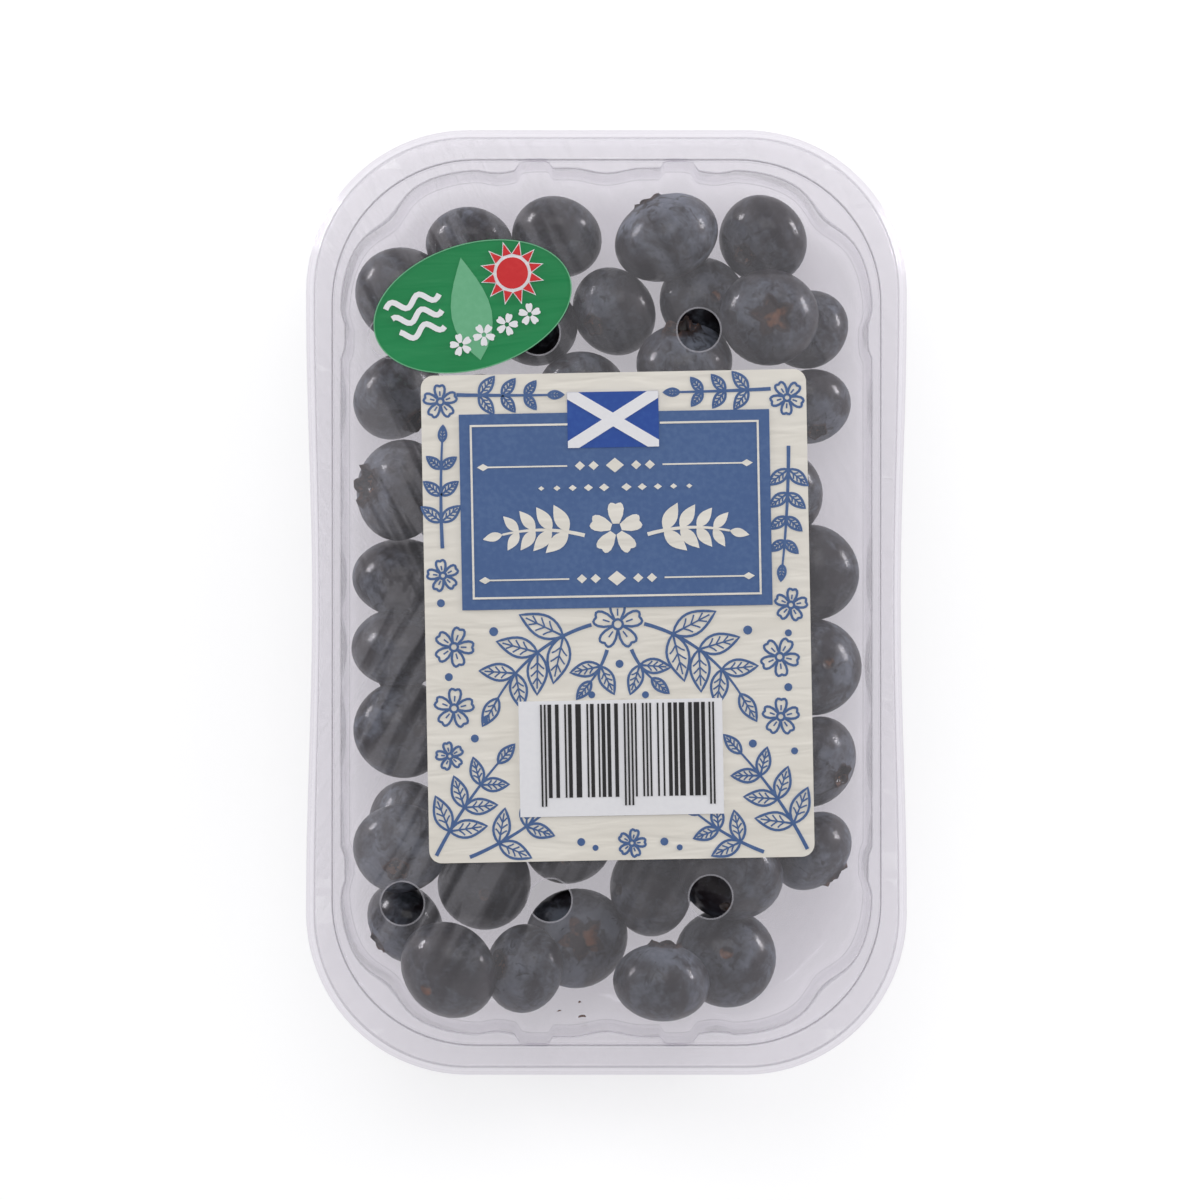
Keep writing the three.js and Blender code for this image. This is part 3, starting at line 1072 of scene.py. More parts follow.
class Crown(Enum):
    """How a berry's crown is formed: reach, star depth, height, pit depth and raggedness, in half widths."""

    OPEN_STAR = (0.44, 0.44, 0.02, 0.05, 0.03)
    UPRIGHT = (0.34, 0.14, 0.10, 0.15, 0.05)
    RAGGED = (0.42, 0.30, 0.15, 0.15, 0.12)
    SMALL = (0.27, 0.2, 0.06, 0.10, 0.05)

    def kind(self) -> int:
        """Gives its place among the crowns."""
        return list(Crown).index(self)


@dataclass
class Berry:
    """One berry: its middle, its half width and half height, and the way its crown faces."""

    middle: Vector
    half_width: float
    half_height: float
    crown: Vector
    lift: float

    def reach(self, direction: Vector) -> float:
        """Gives how far the surface is from the middle, in a direction."""
        along = self.crown.dot(direction) ** 2
        return 1 / math.sqrt((1 - along) / self.half_width ** 2 + along / self.half_height ** 2)

    def stand(self) -> float:
        """Gives how far it stands above and below its middle."""
        up = self.crown.z ** 2
        return math.sqrt((1 - up) * self.half_width ** 2 + up * self.half_height ** 2)


@dataclass
class Heap:
    """The berries in the tray, each dropped in turn until it rests on the floor or on earlier ones."""

    squatness: float = 0.73
    snugness: float = 0.95
    drop_step: float = 0.25
    clearance: float = 0.4
    floor: float = 0.5
    ceiling: float = 34.0
    roundness: float = 0.8
    sides: int = 40
    skin_rings: int = 21
    seed: int = 7
    star_lift: float = 78.0
    small_lift: float = 44.0
    crown_stand: float = 0.06
    star_roll: float = 28.0
    crown_foot: float = 0.53
    scar_reach: float = 0.15
    scar_depth: float = 0.045
    # Each row: x, y, width across, then the way the crown faces, as a heading and a lift in degrees
    table: tuple[tuple[float, ...], ...] = (
        # Round the edge, on the floor
        (-27.5, 72, 17.5, 265, 30), (-10, 73.5, 18.5, 255, 32), (-41, 62, 19.3, 120, -72),
        (1.5, 58.5, 18, 215, 45), (-14.5, 56, 17.5, 60, -60), (-5, 42.5, 18, 100, -40),
        (19.5, 60.5, 18, 200, -70), (31.5, 73, 18.6, 220, 45), (40.5, 55, 16.6, 300, -60),
        (41, 39.5, 16.8, 283, 37), (28.5, 37.5, 17.5, 30, -60), (-42, 41.5, 18.8, -50, 30),
        (-26.5, 37.5, 17.6, 140, -35), (-30, 19, 18.5, 80, -50), (-41.2, 5, 19.6, 270, -8),
        (-41.2, -9, 19.8, 272, -10), (-41, -25.5, 20, 177, -64), (-39.5, -45, 18.2, 20, -50),
        (-40.5, -64.5, 17.5, 215, 15), (-24.5, -56.5, 19, 90, -75), (-8, -48, 18.3, 90, -60),
        (-6, -67.5, 20.4, 17, 80), (9, -57.5, 19.3, 0, -32), (25, -54.5, 20.6, 80, -41),
        (24, -71.5, 20.2, 270, -80), (41.5, -50, 17.3, -45, 8), (42, -32, 18.6, -27, 36),
        (42, -13, 19.3, 200, -70), (41.5, 6, 19.1, 0, -75), (35, 22, 18, 40, -50),
        # Under the label, on the floor
        (-11.5, 24, 18, 10, -40), (-24.5, 0.5, 18, 200, 60), (-24, -17.5, 17.8, 330, -20),
        (-24, -36, 18.2, 90, 70), (-8, 7, 17.6, 160, -65), (-8, -11.5, 18, 45, 35),
        (-8, -29.5, 17.8, 250, 15), (6.5, 30, 17.8, 300, 60), (9, 12.5, 17.6, 120, -30),
        (9, -5.5, 17.8, 20, 75), (9, -23, 17.4, 190, -45), (9, -40, 17.4, 75, 25),
        (25.5, 5.5, 17.4, 340, -70), (25.5, -13, 17.8, 100, 40), (25.5, -31, 18, 215, -15),
        # Lying higher, on the others
        (12, 73.2, 21.2, 116, 8), (15.5, 48, 19, 95, 25), (-41.2, 22.5, 20.4, 172, 33),
        (-16.5, -73.2, 17.6, 170, 40), (-31.4, -73.2, 20.2, 40, -45), (11, -75.8, 19.4, 85, 5),
        (32.5, 57, 19.6, 0, 86), (-41, -49, 19, 262, 58), (3.5, 4.5, 18, 140, 55),
        (-13.5, -19.5, 18.4, 20, -60), (20, -22.5, 17.8, 260, 30), (21, 22, 18.2, 70, 80),
        (-15, 11, 17.8, 310, 20), (3.5, -31, 18, 10, -30), (-3.5, 32, 17.6, 230, 65),
        (-14, -38, 18.2, 150, 40), (19.5, -42.5, 18, 80, -70), (30.5, -3.5, 17.6, 45, 10),
        (-27.5, -8, 17.8, 280, 50),
    )

    def _overlap(self, berry: Berry, other: Berry) -> bool:
        """Tells whether two berries would sink into each other."""
        between = berry.middle - other.middle
        distance = between.length
        between.normalize()
        return distance < self.snugness * (berry.reach(between) + other.reach(between))

    def berries(self) -> list[Berry]:
        """Gives the berries where they come to rest."""
        settled: list[Berry] = []
        for x, y, across, heading, lift in self.table:
            half = across / 2
            berry = Berry(Vector((x, y, 0.0)), half, half * self.squatness, way_of(heading, lift), lift)
            stand = berry.stand()
            highest = self.ceiling - self.clearance - stand
            height = self.floor + self.clearance + stand
            berry.middle.z = height
            while height < highest and any(self._overlap(berry, other) for other in settled):
                height = min(height + self.drop_step, highest)
                berry.middle.z = height
            settled.append(berry)
        return settled

    def _crown_levels(self, crown: Crown, turn: np.ndarray, draw: random.Random) -> list[Level]:
        """Gives the levels of the pit and the crown, from the middle out.

        Args:
            crown: how the crown is formed.
            turn: the angles of a level's points.
            draw: what varies the lobes.

        Returns:
            The levels.
        """
        reach, star, height, depth, ragged = crown.value
        lobe = 1 - np.abs((5 * turn / FULL_TURN + 0.5) % 1 - 0.5) * 2
        lobe_share = np.array([1 + ragged * draw.uniform(-1, 1) for _ in turn])
        star_reach = reach * (1 - star * (1 - lobe)) * lobe_share
        tips = (0.3 + 0.7 * lobe) * np.array([1 + 3 * ragged * draw.uniform(-1, 1) for _ in turn])
        top = self.roundness * math.sqrt(1 - reach ** 2)
        foot = 1.18 * star_reach
        even = np.ones_like(turn)
        core = spread = (0.0, 1.0, 0.0)
        if crown is Crown.OPEN_STAR:
            core, spread = (1.0, 0.0, 0.9), (1.0, 0.0, 0.3)
        return [
            (0.045 * even, (top - depth + 0.03) * even, core),
            (0.085 * even, (top - depth) * even, core),
            (0.55 * star_reach, (top - depth) * even, core),
            (0.80 * star_reach, (top - 0.7 * depth) * even, spread),
            (0.91 * star_reach, top + 0.7 * height * tips, (1.0, 0.2, 0.0)),
            (0.99 * star_reach, top + height * tips, (1.0, 0.0, 0.0)),
            (1.08 * star_reach, top + 0.35 * height * tips, (0.75, 0.0, 0.0)),
            (foot, self.roundness * np.sqrt(1 - foot ** 2), (0.1, 0.0, 0.0)),
        ]

    def _skin_levels(self, turn: np.ndarray) -> list[Level]:
        """Gives the levels of the skin and the stem scar, from the crown down."""
        even = np.ones_like(turn)
        bare, scarred = (0.0, 0.0, 0.0), (0.0, 0.0, 1.0)
        polars = np.linspace(math.asin(self.crown_foot), math.pi - math.asin(self.scar_reach), self.skin_rings + 1)
        skin = [(math.sin(polar) * even, self.roundness * math.cos(polar) * even, bare) for polar in polars]
        bottom = self.roundness * math.cos(polars[-1])
        return [
            *skin,
            (0.125 * even, (bottom - 0.004) * even, (0.0, 0.0, 0.4)),
            (0.10 * even, (bottom + 0.035) * even, scarred),
            (0.05 * even, (bottom + self.scar_depth) * even, scarred),
        ]

    def _source(self, crown: Crown, finish: bpy.types.Material) -> bpy.types.Object:
        """Makes one berry of half width 1 with its crown up, and marks its place and zones on the mesh.

        Args:
            crown: how its crown is formed.
            finish: its material.

        Returns:
            The source piece.
        """
        draw = random.Random(self.seed + crown.kind())
        turn = np.arange(self.sides) / self.sides * FULL_TURN
        levels = [*self._crown_levels(crown, turn, draw), *self._skin_levels(turn)]
        phases = [draw.uniform(0, FULL_TURN) for _ in range(3)]
        rings, places, zones = [], [], []
        for radius, level, zone in reversed(levels):
            swell = 1 + 0.016 * np.cos(2 * turn + phases[0])
            swell = swell + 0.010 * np.cos(3 * turn + phases[1] + 2 * level)
            tilt = 1 + 0.020 * np.cos(turn + phases[2]) * radius
            x, y = radius * np.cos(turn), radius * np.sin(turn)
            rings.append(list(zip(x * swell, y * swell, level * tilt)))
            places += list(zip(x, y, level))
            zones += [zone] * self.sides
        (_, pit, core), (_, scar, scarred) = levels[0], levels[-1]
        low_end, high_end = (0.0, 0.0, scar[0]), (0.0, 0.0, pit[0])
        places = [low_end, *places, high_end]
        zones = [scarred, *zones, core]
        vertices, faces = lofted(rings, low_end, high_end)
        piece = add_piece("berry", vertices, faces, finish)
        for key, rows in ((BERRY_PLACE, places), (BERRY_ZONE, zones)):
            flat = [float(part) for row in rows for part in row]
            piece.data.attributes.new(key, "FLOAT_VECTOR", "POINT").data.foreach_set("vector", flat)
        return piece

    def build(self, scatter: Scatter, finish: bpy.types.Material) -> bpy.types.Object:
        """Makes all the berries as one piece.

        Args:
            scatter: what sets the copies.
            finish: their material.

        Returns:
            The piece.
        """
        draw = random.Random(self.seed)
        closed = (Crown.UPRIGHT, Crown.RAGGED, Crown.SMALL)
        spots = []
        for berry in self.berries():
            full = replace(berry, half_height=berry.half_width * self.roundness)
            stand = full.stand() + self.crown_stand * berry.half_width * abs(math.sin(math.radians(berry.lift)))
            lowest, highest = self.floor + stand, self.ceiling - stand
            berry.middle.z = min(max(berry.middle.z, lowest), highest)
            roll, crown = draw.uniform(0, FULL_TURN), draw.choice(closed)
            if abs(berry.lift) > self.small_lift:
                crown = Crown.SMALL
            if berry.lift > self.star_lift:
                roll = math.radians(self.star_roll) + math.atan2(berry.crown.y, berry.crown.x)
                crown = Crown.OPEN_STAR
            facing = Vector((0, 0, 1)).rotation_difference(berry.crown)
            turn = (facing @ Quaternion((0, 0, 1), roll)).to_euler()
            spots.append(Spot(berry.middle, berry.half_width, turn, crown.kind(), draw.random()))
        sources = [self._source(crown, finish) for crown in Crown]
        piece = scatter.piece("blueberries", sources, spots, finish)
        piece.data.shade_smooth()
        return piece


@dataclass
class Litter:
    """Small dry bits of crown and stalk that lie at the foot of the tray's near end."""

    tray: Tray
    lift: float = 0.04
    seed: int = 5
    # Each bit: x, how steep the foot of the wall is there in degrees, length
    bits: tuple[tuple[float, ...], ...] = ((-4.9, 58, 1.5), (-5.4, 22, 0.8), (-9.5, 42, 0.8), (9.3, 45, 0.7))

    def build(self, scatter: Scatter, finish: bpy.types.Material) -> bpy.types.Object:
        """Makes the bits as one piece.

        Args:
            scatter: what sets the copies.
            finish: their material.

        Returns:
            The piece.
        """
        draw = random.Random(self.seed)
        curl, scrap = Strokes(0.16), Strokes(0.2)
        curl.ribbon(
            [(-0.5, -0.12), (-0.2, 0.06), (0.1, 0.1), (0.36, -0.02), (0.5, -0.2)], [0.1, 0.3, 0.34, 0.2, 0.06],
        )
        scrap.polygon([
            (-0.5, -0.1), (-0.12, -0.28), (0.2, -0.16), (0.5, -0.22), (0.24, 0.08), (0.04, 0.3), (-0.26, 0.1),
        ])
        tray = self.tray
        radius = tray.fillet - tray.sheet
        foot = tray.wall.half_length - tray.draft * (tray.ledge_top - tray.fillet)
        spots = []
        for index, (x, steepness, length) in enumerate(self.bits):
            slope = math.radians(steepness)
            y = radius * (1 - math.sin(slope)) - foot
            z = tray.fillet - radius * math.cos(slope) + self.lift
            turn = Euler((-slope, 0.0, draw.uniform(-0.4, 0.4)))
            spots.append(Spot(Vector((x, y, z)), length, turn, index % 2))
        sources = [curl.piece("curl", finish), scrap.piece("scrap", finish)]
        return scatter.piece("dry_bits", sources, spots, finish)


# The label and the sticker

@dataclass(frozen=True)
class Placing:
    """Where a flat thing lies on the film, and how high each layer of it starts."""

    x: float
    y: float
    turn: float
    bottom: float = 34.1
    paper: float = 0.12
    ink: float = 0.07

    def matrix(self, layer: int) -> Matrix:
        """Gives where a layer goes, from millimetres into metres; layer 0 is the paper."""
        z = self.bottom if layer == 0 else self.bottom + self.paper + self.ink * (layer - 1)
        spin = Matrix.Rotation(math.radians(self.turn), 4, "Z")
        return Matrix.Scale(MM, 4) @ Matrix.Translation((self.x, self.y, z)) @ spin


class Printed:
    """A flat printed thing on the film, which draws its own paper and layers of ink."""

    placing: Placing

    def ink(self) -> Strokes:
        """Gives an empty layer of ink."""
        return Strokes(self.placing.ink)

    def pieces(self) -> list[tuple[str, Strokes, int, str]]:
        """Gives each part: its name, its strokes, its layer and its ink."""
        raise NotImplementedError


@dataclass
class Motifs:
    """Draws leaves, sprigs and blossoms into strokes."""

    strokes: Strokes
    line: float = 0.5
    fine: float = 0.3
    filled: bool = False
    vein_shares: Corner = (0.24, 0.42, 0.6)
    leaf_spread: float = 52.0
    leaf_breadth: float = 0.46
    leaf_gap: int = 6
    petals: int = 5
    petal_half_angle: float = math.radians(33)

    def leaf(self, x: float, y: float, heading: float, length: float, breadth: float) -> None:
        """Draws a pointed leaf.

        Args:
            x: where its stalk starts.
            y: the same.
            heading: the way it points, in degrees.
            length: how long it is.
            breadth: how broad it is.
        """
        base, along, aside = Vector((x, y)), way_of(heading).xy, way_of(heading + 90).xy

        def at(share: float, side: float) -> Point:
            """Gives a point a share of the way along, out to a share of the half breadth."""
            swell = math.sin(math.pi * share ** 0.85)
            return tuple(base + along * length * share + aside * side * swell * breadth / 2)

        shares = [step / 9 for step in range(9)]
        loop = [at(share, -1) for share in shares] + [at(1 - share, 1) for share in shares]
        if self.filled:
            self.strokes.polygon(loop)
            return
        self.strokes.ribbon(loop, self.line, closed=True)
        self.strokes.ribbon([at(0.0, 0), at(0.4, 0), at(0.86, 0)], [self.line, self.fine, self.fine])
        for share in self.vein_shares:
            for side in (-1, 1):
                vein = [at(share, 0), at(share + 0.1, 0.42 * side), at(share + 0.15, 0.7 * side)]
                self.strokes.ribbon(vein, self.fine)

    def sprig(
        self, x: float, y: float, heading: float, length: float, bend: float, pairs: int, leaf: float,
    ) -> None:
        """Draws a curved stem with pairs of leaves.

        Args:
            x: where it starts.
            y: the same.
            heading: the way it sets out, in degrees.
            length: the stem's length.
            bend: how far it turns on its way, in degrees.
            pairs: how many pairs of leaves it has.
            leaf: the length of its longest leaves.
        """
        steps = self.leaf_gap * (pairs + 1)
        place, path = Vector((x, y)), [(x, y)]
        for step in range(steps):
            way = heading + bend * step / steps
            place = place + way_of(way).xy * length / steps
            path.append(tuple(place))
            if step % self.leaf_gap == self.leaf_gap - 1 and step < steps - 1:
                reach = leaf * (1.0 - 0.45 * step / steps)
                for side in (-1, 1):
                    self.leaf(*place, way + self.leaf_spread * side, reach, reach * self.leaf_breadth)
        self.leaf(*place, heading + bend, leaf * 0.6, leaf * 0.27)
        self.strokes.ribbon(path, [self.line * (1.5 - 0.7 * step / steps) for step in range(steps + 1)])

    def blossom(self, x: float, y: float, radius: float, turn: float = 0.0) -> None:
        """Draws a five-petalled blossom.

        Args:
            x: its middle.
            y: the same.
            radius: how far its petals reach.
            turn: the way its first petal points, in degrees.
        """
        for petal in range(self.petals):
            heading = math.radians(turn) + petal * FULL_TURN / self.petals
            loop = []
            for step in range(13):
                share = step / 12
                swing = (share - 0.5) * 2
                notch = 0.10 * math.exp(-(swing * 5) ** 2)
                reach = radius * (0.22 + 0.78 * (1 - abs(swing) ** 3.2)) * (1 - notch)
                way = heading + swing * self.petal_half_angle
                loop.append((x + reach * math.cos(way), y + reach * math.sin(way)))
            if self.filled:
                self.strokes.polygon(loop)
            else:
                self.strokes.ribbon(loop, self.line, closed=True)
                tip = [(x + radius * share * math.cos(heading), y + radius * share * math.sin(heading))
                       for share in (0.34, 0.62)]
                self.strokes.ribbon(tip, self.fine)
        if not self.filled:
            self.strokes.ring(x, y, radius * 0.2, self.line, 12)

    def rule(self, x: float, y: float, length: float) -> None:
        """Draws a thin rule with lozenges at its ends and five in its middle."""
        gap = 9.4
        reach = length / 2
        for side in (-1, 1):
            self.strokes.box(x + side * (reach + gap) / 2, y, reach - gap, 0.3)
            self.strokes.lozenge(x + side * reach, y, 2.4, 1.4)
            for place in (4.2, 6.9):
                self.strokes.lozenge(x + side * place, y, 2.0, 1.8)
        self.strokes.lozenge(x, y, 3.6, 2.9)


@dataclass
class PaperLabel(Printed):
    """The cream label on the film, with its printed panel, its borders of sprigs and its bar pattern."""

    placing: Placing = Placing(2.2, -2.7, 1.05)
    width: float = 76.0
    height: float = 96.2
    radius: float = 2.5
    # The panel, the badge and the bars' field are each a middle's x and y, a width and a height
    panel: tuple[float, float, float, float] = (0.0, 21.0, 61.2, 38.6)
    border_inset: float = 2.3
    badge: tuple[float, float, float, float] = (-0.2, 38.8, 18.0, 11.0)
    rules: tuple[float, float] = (29.8, 7.5)
    rule_length: float = 52.0
    code_field: tuple[float, float, float, float] = (0.2, -27.9, 40.2, 22.8)
    code_middle: float = 1.7
    code_top: float = -17.2
    code_height: float = 18.4
    code_module: float = 0.365
    code_modules: int = 95
    code_guard: float = 1.7
    code_seed: int = 11
    # Each sprig: x, y, heading, length, bend, pairs of leaves, longest leaf
    sprigs: tuple[tuple[float, ...], ...] = (
        (-5.2, -1.6, 196, 24, 44, 3, 10.5), (5.2, -1.6, -16, 24, -44, 3, 10.5),
        (-2.2, -6.6, 252, 7, -22, 1, 7.5), (2.6, -6.6, 292, 7, 26, 1, 7.5),
        (-34.3, 14, 92, 21, -6, 3, 5.4), (34.3, 33, 269, 23.5, -6, 4, 5.4),
        (-31, 44.2, -2, 18, 2, 3, 5.2), (31, 44.3, 182, 18, -2, 3, 5.2),
        (-36.6, -46.6, 62, 22, -14, 3, 8.2), (-30, -47.0, 22, 19, 18, 2, 8.0),
        (36.6, -46.6, 116, 23, 16, 3, 8.4), (28, -47.0, 158, 15, -18, 2, 7.2),
    )
    # Each blossom: x, y, radius, turn
    blossoms: tuple[tuple[float, ...], ...] = (
        (0.0, -1.6, 5.0, 90), (-32.4, -5.5, 4.0, 70), (-34.2, 42.9, 3.4, 20), (34.2, 42.5, 3.4, 50),
        (34.2, 1.6, 3.3, 10), (-34.3, 8.6, 3.2, 100), (-32.6, -17.6, 4.0, 85), (31.8, -8.6, 3.9, 60),
        (31.8, -20.4, 3.7, 15), (-33.6, -27.0, 2.8, 30), (2.0, -44.8, 2.8, 75),
    )
    # Each dot: x, y, radius
    dots: tuple[tuple[float, ...], ...] = (
        (-24.5, -2.6, 0.9), (-33.5, -11.4, 0.8), (25.6, -3.2, 0.9), (33.6, -3.9, 0.7), (-28.6, -23.6, 0.8),
        (26.2, -25.6, 0.8), (-26.6, -20.0, 0.7), (33.4, -14.6, 0.8), (34.4, -27.2, 0.7),
        (-5.4, -15.4, 0.7), (5.2, -15.6, 0.7), (-34.8, 3.2, 0.8), (0.2, -9.4, 0.8),
        (-8.0, -44.4, 0.8), (-5.2, -45.6, 0.6), (8.4, -44.6, 0.8), (11.4, -45.8, 0.6),
    )

    def _corners(self) -> list[Point]:
        """Gives the paper's outline with its round corners, anticlockwise."""
        points = []
        for quarter, (sign_x, sign_y) in enumerate(((1, 1), (-1, 1), (-1, -1), (1, -1))):
            centre = Vector((sign_x * (self.width / 2 - self.radius), sign_y * (self.height / 2 - self.radius)))
            for step in range(9):
                points.append(tuple(centre + self.radius * way_of((quarter + step / 8) * 90).xy))
        return points

    def _paper(self) -> Strokes:
        """Draws the paper."""
        paper = Strokes(self.placing.paper)
        paper.polygon(self._corners())
        return paper

    def _field(self, field_box: tuple[float, float, float, float]) -> Strokes:
        """Draws a plain field."""
        ink = self.ink()
        ink.box(*field_box)
        return ink

    def _sprays(self) -> Strokes:
        """Draws the sprigs, blossoms and dots round the panel."""
        ink = self.ink()
        motifs = Motifs(ink)
        for sprig in self.sprigs:
            motifs.sprig(*sprig)
        for blossom in self.blossoms:
            motifs.blossom(*blossom)
        for x, y, radius in self.dots:
            ink.disc(x, y, radius, 12)
        return ink

    def _panel_ornament(self) -> Strokes:
        """Draws the cream border, rules and garland on the panel."""
        ink = self.ink()
        x, y, width, height = self.panel
        reach_x, reach_y, line = width / 2 - self.border_inset, height / 2 - self.border_inset, 0.4
        badge, end = self.badge[2] / 2, reach_x + line / 2
        ink.box(x, y - reach_y, 2 * end, line)
        for side in (-1, 1):
            ink.box(x + side * reach_x, y, line, 2 * reach_y - line)
            ink.box(x + side * (end + badge) / 2, y + reach_y, end - badge, line)
        motifs = Motifs(ink, filled=True)
        for rule in self.rules:
            motifs.rule(x, rule, self.rule_length)
        middle = sum(self.rules) / 2 - 1.4
        motifs.blossom(x, middle, 5.4, 90)
        for side in (-1, 1):
            start = 0 if side > 0 else 180
            motifs.sprig(x + side * 6.2, middle - 1.2, start + side * 15, 16.4, -side * 28, 4, 6.6)
            for step in range(5):
                ink.lozenge(x + side * (2.2 + 3.1 * step), middle + 8.2, 2.0 - 0.2 * step, 1.5 - 0.15 * step)
        return ink

    def _cross(self) -> Strokes:
        """Draws the two white diagonals of the badge, cut off at its edges."""
        ink = self.ink()
        x, y, width, height = self.badge
        w, h, band = width / 2 - 0.02, height / 2 - 0.02, 2.3
        length = math.hypot(w, h)
        step_x, step_y = band / 2 * length / h, band / 2 * length / w
        ink.polygon([
            (x - w, y - h), (x - w + step_x, y - h), (x, y - step_y), (x + w - step_x, y - h),
            (x + w, y - h), (x + w, y - h + step_y), (x + step_x, y), (x + w, y + h - step_y),
            (x + w, y + h), (x + w - step_x, y + h), (x, y + step_y), (x - w + step_x, y + h),
            (x - w, y + h), (x - w, y + h - step_y), (x - step_x, y), (x - w, y - h + step_y),
        ])
        return ink

    def _bars(self) -> Strokes:
        """Draws bars of random widths, with longer pairs at the ends and in the middle."""
        ink = self.ink()
        draw = random.Random(self.code_seed)
        left = self.code_middle - self.code_modules * self.code_module / 2
        guards = (1, self.code_modules // 2, self.code_modules - 2)
        place = 0
        while place < self.code_modules:
            wide = draw.choice((1, 1, 1, 2, 2, 3))
            guard = any(abs(place - centre) < 3 for centre in guards)
            wide = min(1 if guard else wide, self.code_modules - place)
            height = self.code_height + (self.code_guard if guard else 0.0)
            width = wide * self.code_module
            ink.box(left + place * self.code_module + width / 2, self.code_top - height / 2, width, height)
            place += wide + (1 if guard else draw.choice((1, 1, 2, 2, 3)))
        return ink

    def pieces(self) -> list[tuple[str, Strokes, int, str]]:
        """Gives each part of the label: its name, its strokes, its layer and its ink."""
        return [
            ("label_paper", self._paper(), 0, "cream"),
            ("label_sprays", self._sprays(), 1, "blue"),
            ("label_panel", self._field(self.panel), 2, "blue"),
            ("label_panel_ornament", self._panel_ornament(), 3, "cream"),
            ("label_badge", self._field(self.badge), 3, "bright"),
            ("label_badge_cross", self._cross(), 4, "white"),
            ("label_code_field", self._field(self.code_field), 2, "white"),
            ("label_code_bars", self._bars(), 3, "black"),
        ]


@dataclass
class OvalSticker(Printed):
    """The green oval sticker on the film, with its simple printed shapes."""

    placing: Placing = Placing(-26.4, 58.4, 17.0)
    width: float = 40.2
    height: float = 24.8
    sides: int = 96
    edge: float = 0.2
    edge_inset: float = 0.12
    sun: Point = (9.4, 4.0)
    sun_radius: float = 3.1
    rays: int = 12
    halo: float = 0.3

    def _paper(self) -> Strokes:
        """Draws the paper."""
        paper = Strokes(self.placing.paper)
        paper.disc(0.0, 0.0, self.width / 2, self.sides, self.height / self.width)
        return paper

    def _edge(self) -> Strokes:
        """Draws the thin pale line along the edge."""
        ink = self.ink()
        width, height = self.width / 2 - self.edge_inset, self.height / 2 - self.edge_inset
        ink.ring(0.0, 0.0, width, self.edge, self.sides, height / width)
        return ink

    def _pale_shapes(self) -> Strokes:
        """Draws a broad pale leaf across the middle."""
        ink = self.ink()
        Motifs(ink, filled=True).leaf(-1.6, -10.6, 84, 20.6, 8.0)
        return ink

    def _white_shapes(self) -> Strokes:
        """Draws waves on the left and blossoms along the bottom."""
        ink = self.ink()
        for row in range(3):
            wave = [
                (-16.6 + 0.7 * row + 0.55 * step, 4.4 - 3.0 * row + 1.0 * math.sin(step * 0.62 + row))
                for step in range(21 - 2 * row)
            ]
            ink.ribbon(wave, 1.1)
        motifs = Motifs(ink, filled=True)
        for index in range(4):
            motifs.blossom(-4.4 + 4.9 * index, -6.6 + 0.6 * index, 2.3, 90 + 20 * index)
        return ink

    def _sun(self, ink: Strokes, grow: float) -> None:
        """Draws a sun with pointed rays, each shape grown by a margin."""
        middle = Vector(self.sun)
        foot, tip, half = 3.7 - 2 * grow, 6.0 + 1.5 * grow, 0.85 + 1.3 * grow
        ink.disc(middle.x, middle.y, self.sun_radius + grow, 32)
        for ray in range(self.rays):
            heading = 360 * ray / self.rays
            way, aside = way_of(heading).xy, way_of(heading + 90).xy
            corners = (way * foot - aside * half, way * tip, way * foot + aside * half)
            ink.polygon([tuple(middle + corner) for corner in corners])

    def pieces(self) -> list[tuple[str, Strokes, int, str]]:
        """Gives each part of the sticker: its name, its strokes, its layer and its ink."""
        halo, red = self.ink(), self.ink()
        self._sun(halo, self.halo)
        self._sun(red, 0.0)
        return [
            ("sticker_paper", self._paper(), 0, "green"),
            ("sticker_edge", self._edge(), 1, "pale_green"),
            ("sticker_leaf", self._pale_shapes(), 1, "pale_green"),
            ("sticker_marks", self._white_shapes(), 2, "white"),
            ("sticker_sun_halo", halo, 2, "white"),
            ("sticker_sun", red, 3, "red"),
        ]


class Inks:
    """The papers and inks by their names."""

    def __init__(self) -> None:
        """Makes the materials."""
        self.materials = {
            "cream": Paper("cream_paper", shade(233, 228, 219), shade(227, 221, 210)).material(),
            "green": Paper("green_paper", shade(8, 128, 70), shade(14, 138, 78), 0.42, 0.15).material(),
            "blue": Ink("blue_ink", shade(70, 98, 146), shade(88, 115, 158)).material(),
            "bright": Ink("bright_blue_ink", shade(34, 74, 156), shade(48, 90, 166)).material(),
            "white": Ink("white_ink", shade(236, 235, 238), shade(230, 229, 233)).material(),
            "black": Ink("black_ink", shade(30, 28, 30), shade(44, 42, 44)).material(),
            "red": Ink("red_ink", shade(206, 30, 36), shade(214, 48, 50)).material(),
            "pale_green": Ink("pale_green_ink", shade(104, 176, 132), shade(116, 184, 142)).material(),
        }

    def lay(self, thing: Printed, slot: str, node: str) -> None:
        """Makes a printed thing's pieces and settles them.

        Args:
            thing: the label or the sticker.
            slot: its material slot.
            node: the solid node that its paper stands for.
        """
        for name, strokes, layer, ink in thing.pieces():
            piece = strokes.piece(name, self.materials[ink], thing.placing.matrix(layer))
            settle(piece, slot, *([node] if layer == 0 else []))


# The studio

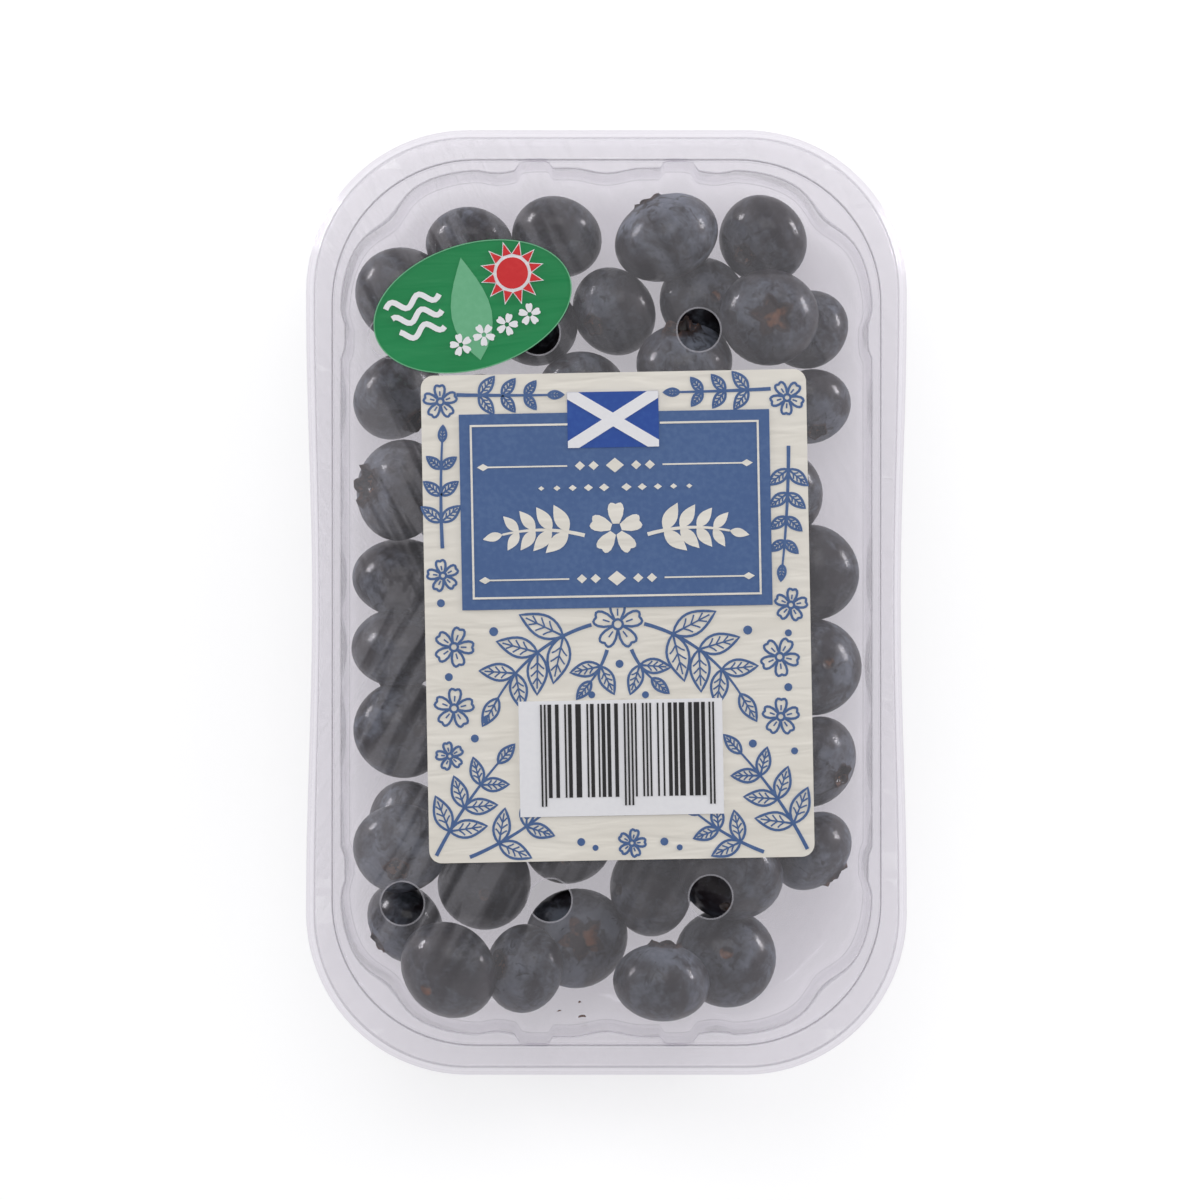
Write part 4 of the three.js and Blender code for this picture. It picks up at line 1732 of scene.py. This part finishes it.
@dataclass(frozen=True)
class SoftBox:
    """An oblong lamp that faces the pack."""

    name: str
    heading: float
    lift: float
    distance: float
    width: float
    height: float
    power: float

    def build(self) -> None:
        """Adds the lamp."""
        lamp = bpy.data.lights.new(self.name, "AREA")
        lamp.shape = "RECTANGLE"
        lamp.size = self.width
        lamp.size_y = self.height
        lamp.energy = self.power
        way = way_of(self.heading, self.lift)
        holder = bpy.data.objects.new(self.name, lamp)
        holder.location = way * self.distance
        holder.rotation_euler = way.to_track_quat("Z", "Y").to_euler()
        bpy.context.scene.collection.objects.link(holder)


@dataclass
class Studio:
    """The pale table, the soft light and the camera straight above."""

    table_side: float = 4.0
    table_drop: float = 0.0003
    camera_height: float = 1.25
    aim_x: float = -1.28
    aim_y: float = 0.49
    field: float = 236.7
    sensor: float = 36.0
    rim_top: float = 34.0
    horizon: Colour = (0.90, 0.905, 0.92)
    zenith: Colour = (0.08, 0.08, 0.083)
    screen_top: tuple[float, float] = (0.5, 0.88)
    boxes: tuple[SoftBox, ...] = (
        SoftBox("right_box", 24, 6, 1.1, 0.42, 0.2, 11.5),
        SoftBox("left_box", 150, 6, 1.1, 0.36, 0.2, 9.5),
        SoftBox("back_box", 95, 62, 1.5, 1.0, 0.8, 6.0),
    )

    def _sky(self) -> bpy.types.World:
        """Gives a sky that is bright low down all round and dark overhead, as between tall white screens."""
        world = bpy.data.worlds.new("white_screens")
        world.use_nodes = True
        tree = world.node_tree
        way = add_node(tree, "ShaderNodeTexCoord")
        parts = add_node(tree, "ShaderNodeSeparateXYZ", None, {0: way.outputs["Generated"]})
        stops = [(self.screen_top[0], self.horizon), (self.screen_top[1], self.zenith)]
        ramp = add_node(tree, "ShaderNodeValToRGB", {"stops": stops}, {0: parts.outputs["Z"]})
        tree.links.new(ramp.outputs[0], tree.nodes["Background"].inputs["Color"])
        return world

    def build(self, finish: bpy.types.Material) -> None:
        """Adds the table, the sky, the lamps and the camera.

        Args:
            finish: the table's material.
        """
        scene = bpy.context.scene
        half = self.table_side / 2
        corners = [(-half, -half), (half, -half), (half, half), (-half, half)]
        table = add_piece("table", [(x, y, -self.table_drop) for x, y in corners], [(0, 1, 2, 3)], finish)
        scene.world = self._sky()
        for box in self.boxes:
            box.build()
        camera = bpy.data.cameras.new("camera")
        camera.sensor_width = self.sensor
        camera.lens = self.sensor * (self.camera_height / MM - self.rim_top) / self.field
        camera.clip_start = 0.01
        holder = bpy.data.objects.new("camera", camera)
        holder.location = (self.aim_x * MM, self.aim_y * MM, self.camera_height)
        scene.collection.objects.link(holder)
        scene.camera = holder
        scene.view_settings.view_transform = "Standard"
        scene.cycles.transparent_max_bounces = 32
        scene.cycles.max_bounces = 5
        scene.cycles.diffuse_bounces = 2
        scene.cycles.glossy_bounces = 2
        scene.cycles.caustics_reflective = False
        scene.cycles.caustics_refractive = False


def main() -> None:
    """Builds the pack and its studio, piece by piece."""
    logging.basicConfig(level=logging.INFO, format="%(name)s: %(message)s")
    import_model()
    Studio().build(TableTop().material())
    scatter = Scatter()
    tray = Tray()
    film = LidFilm(tray)
    film_finish = ClearFilm().material()
    settle(tray.build(TrayPlastic().material()), "tray_plastic", "tray", "rim")
    settle(Heap().build(scatter, BerrySkin().material()), "berry_skin", "berries")
    dry = Ink("dry_stalk", shade(112, 66, 38), shade(150, 98, 58), 0.7).material()
    settle(Litter(tray).build(scatter, dry), "berry_skin")
    settle(film.build(film_finish), "lid_film", "film")
    # The rims' milkier veil is a painted glint along the cut edge of each vent hole
    rim_glint_finish = ClearFilm("vent_rim_glint_film", veil=0.16).material()
    settle(film.build_rims(scatter, rim_glint_finish), "lid_film")
    inks = Inks()
    inks.lay(PaperLabel(), "label_paper", "label")
    inks.lay(OvalSticker(), "sticker_paper", "sticker")


if __name__ == "__main__":
    main()
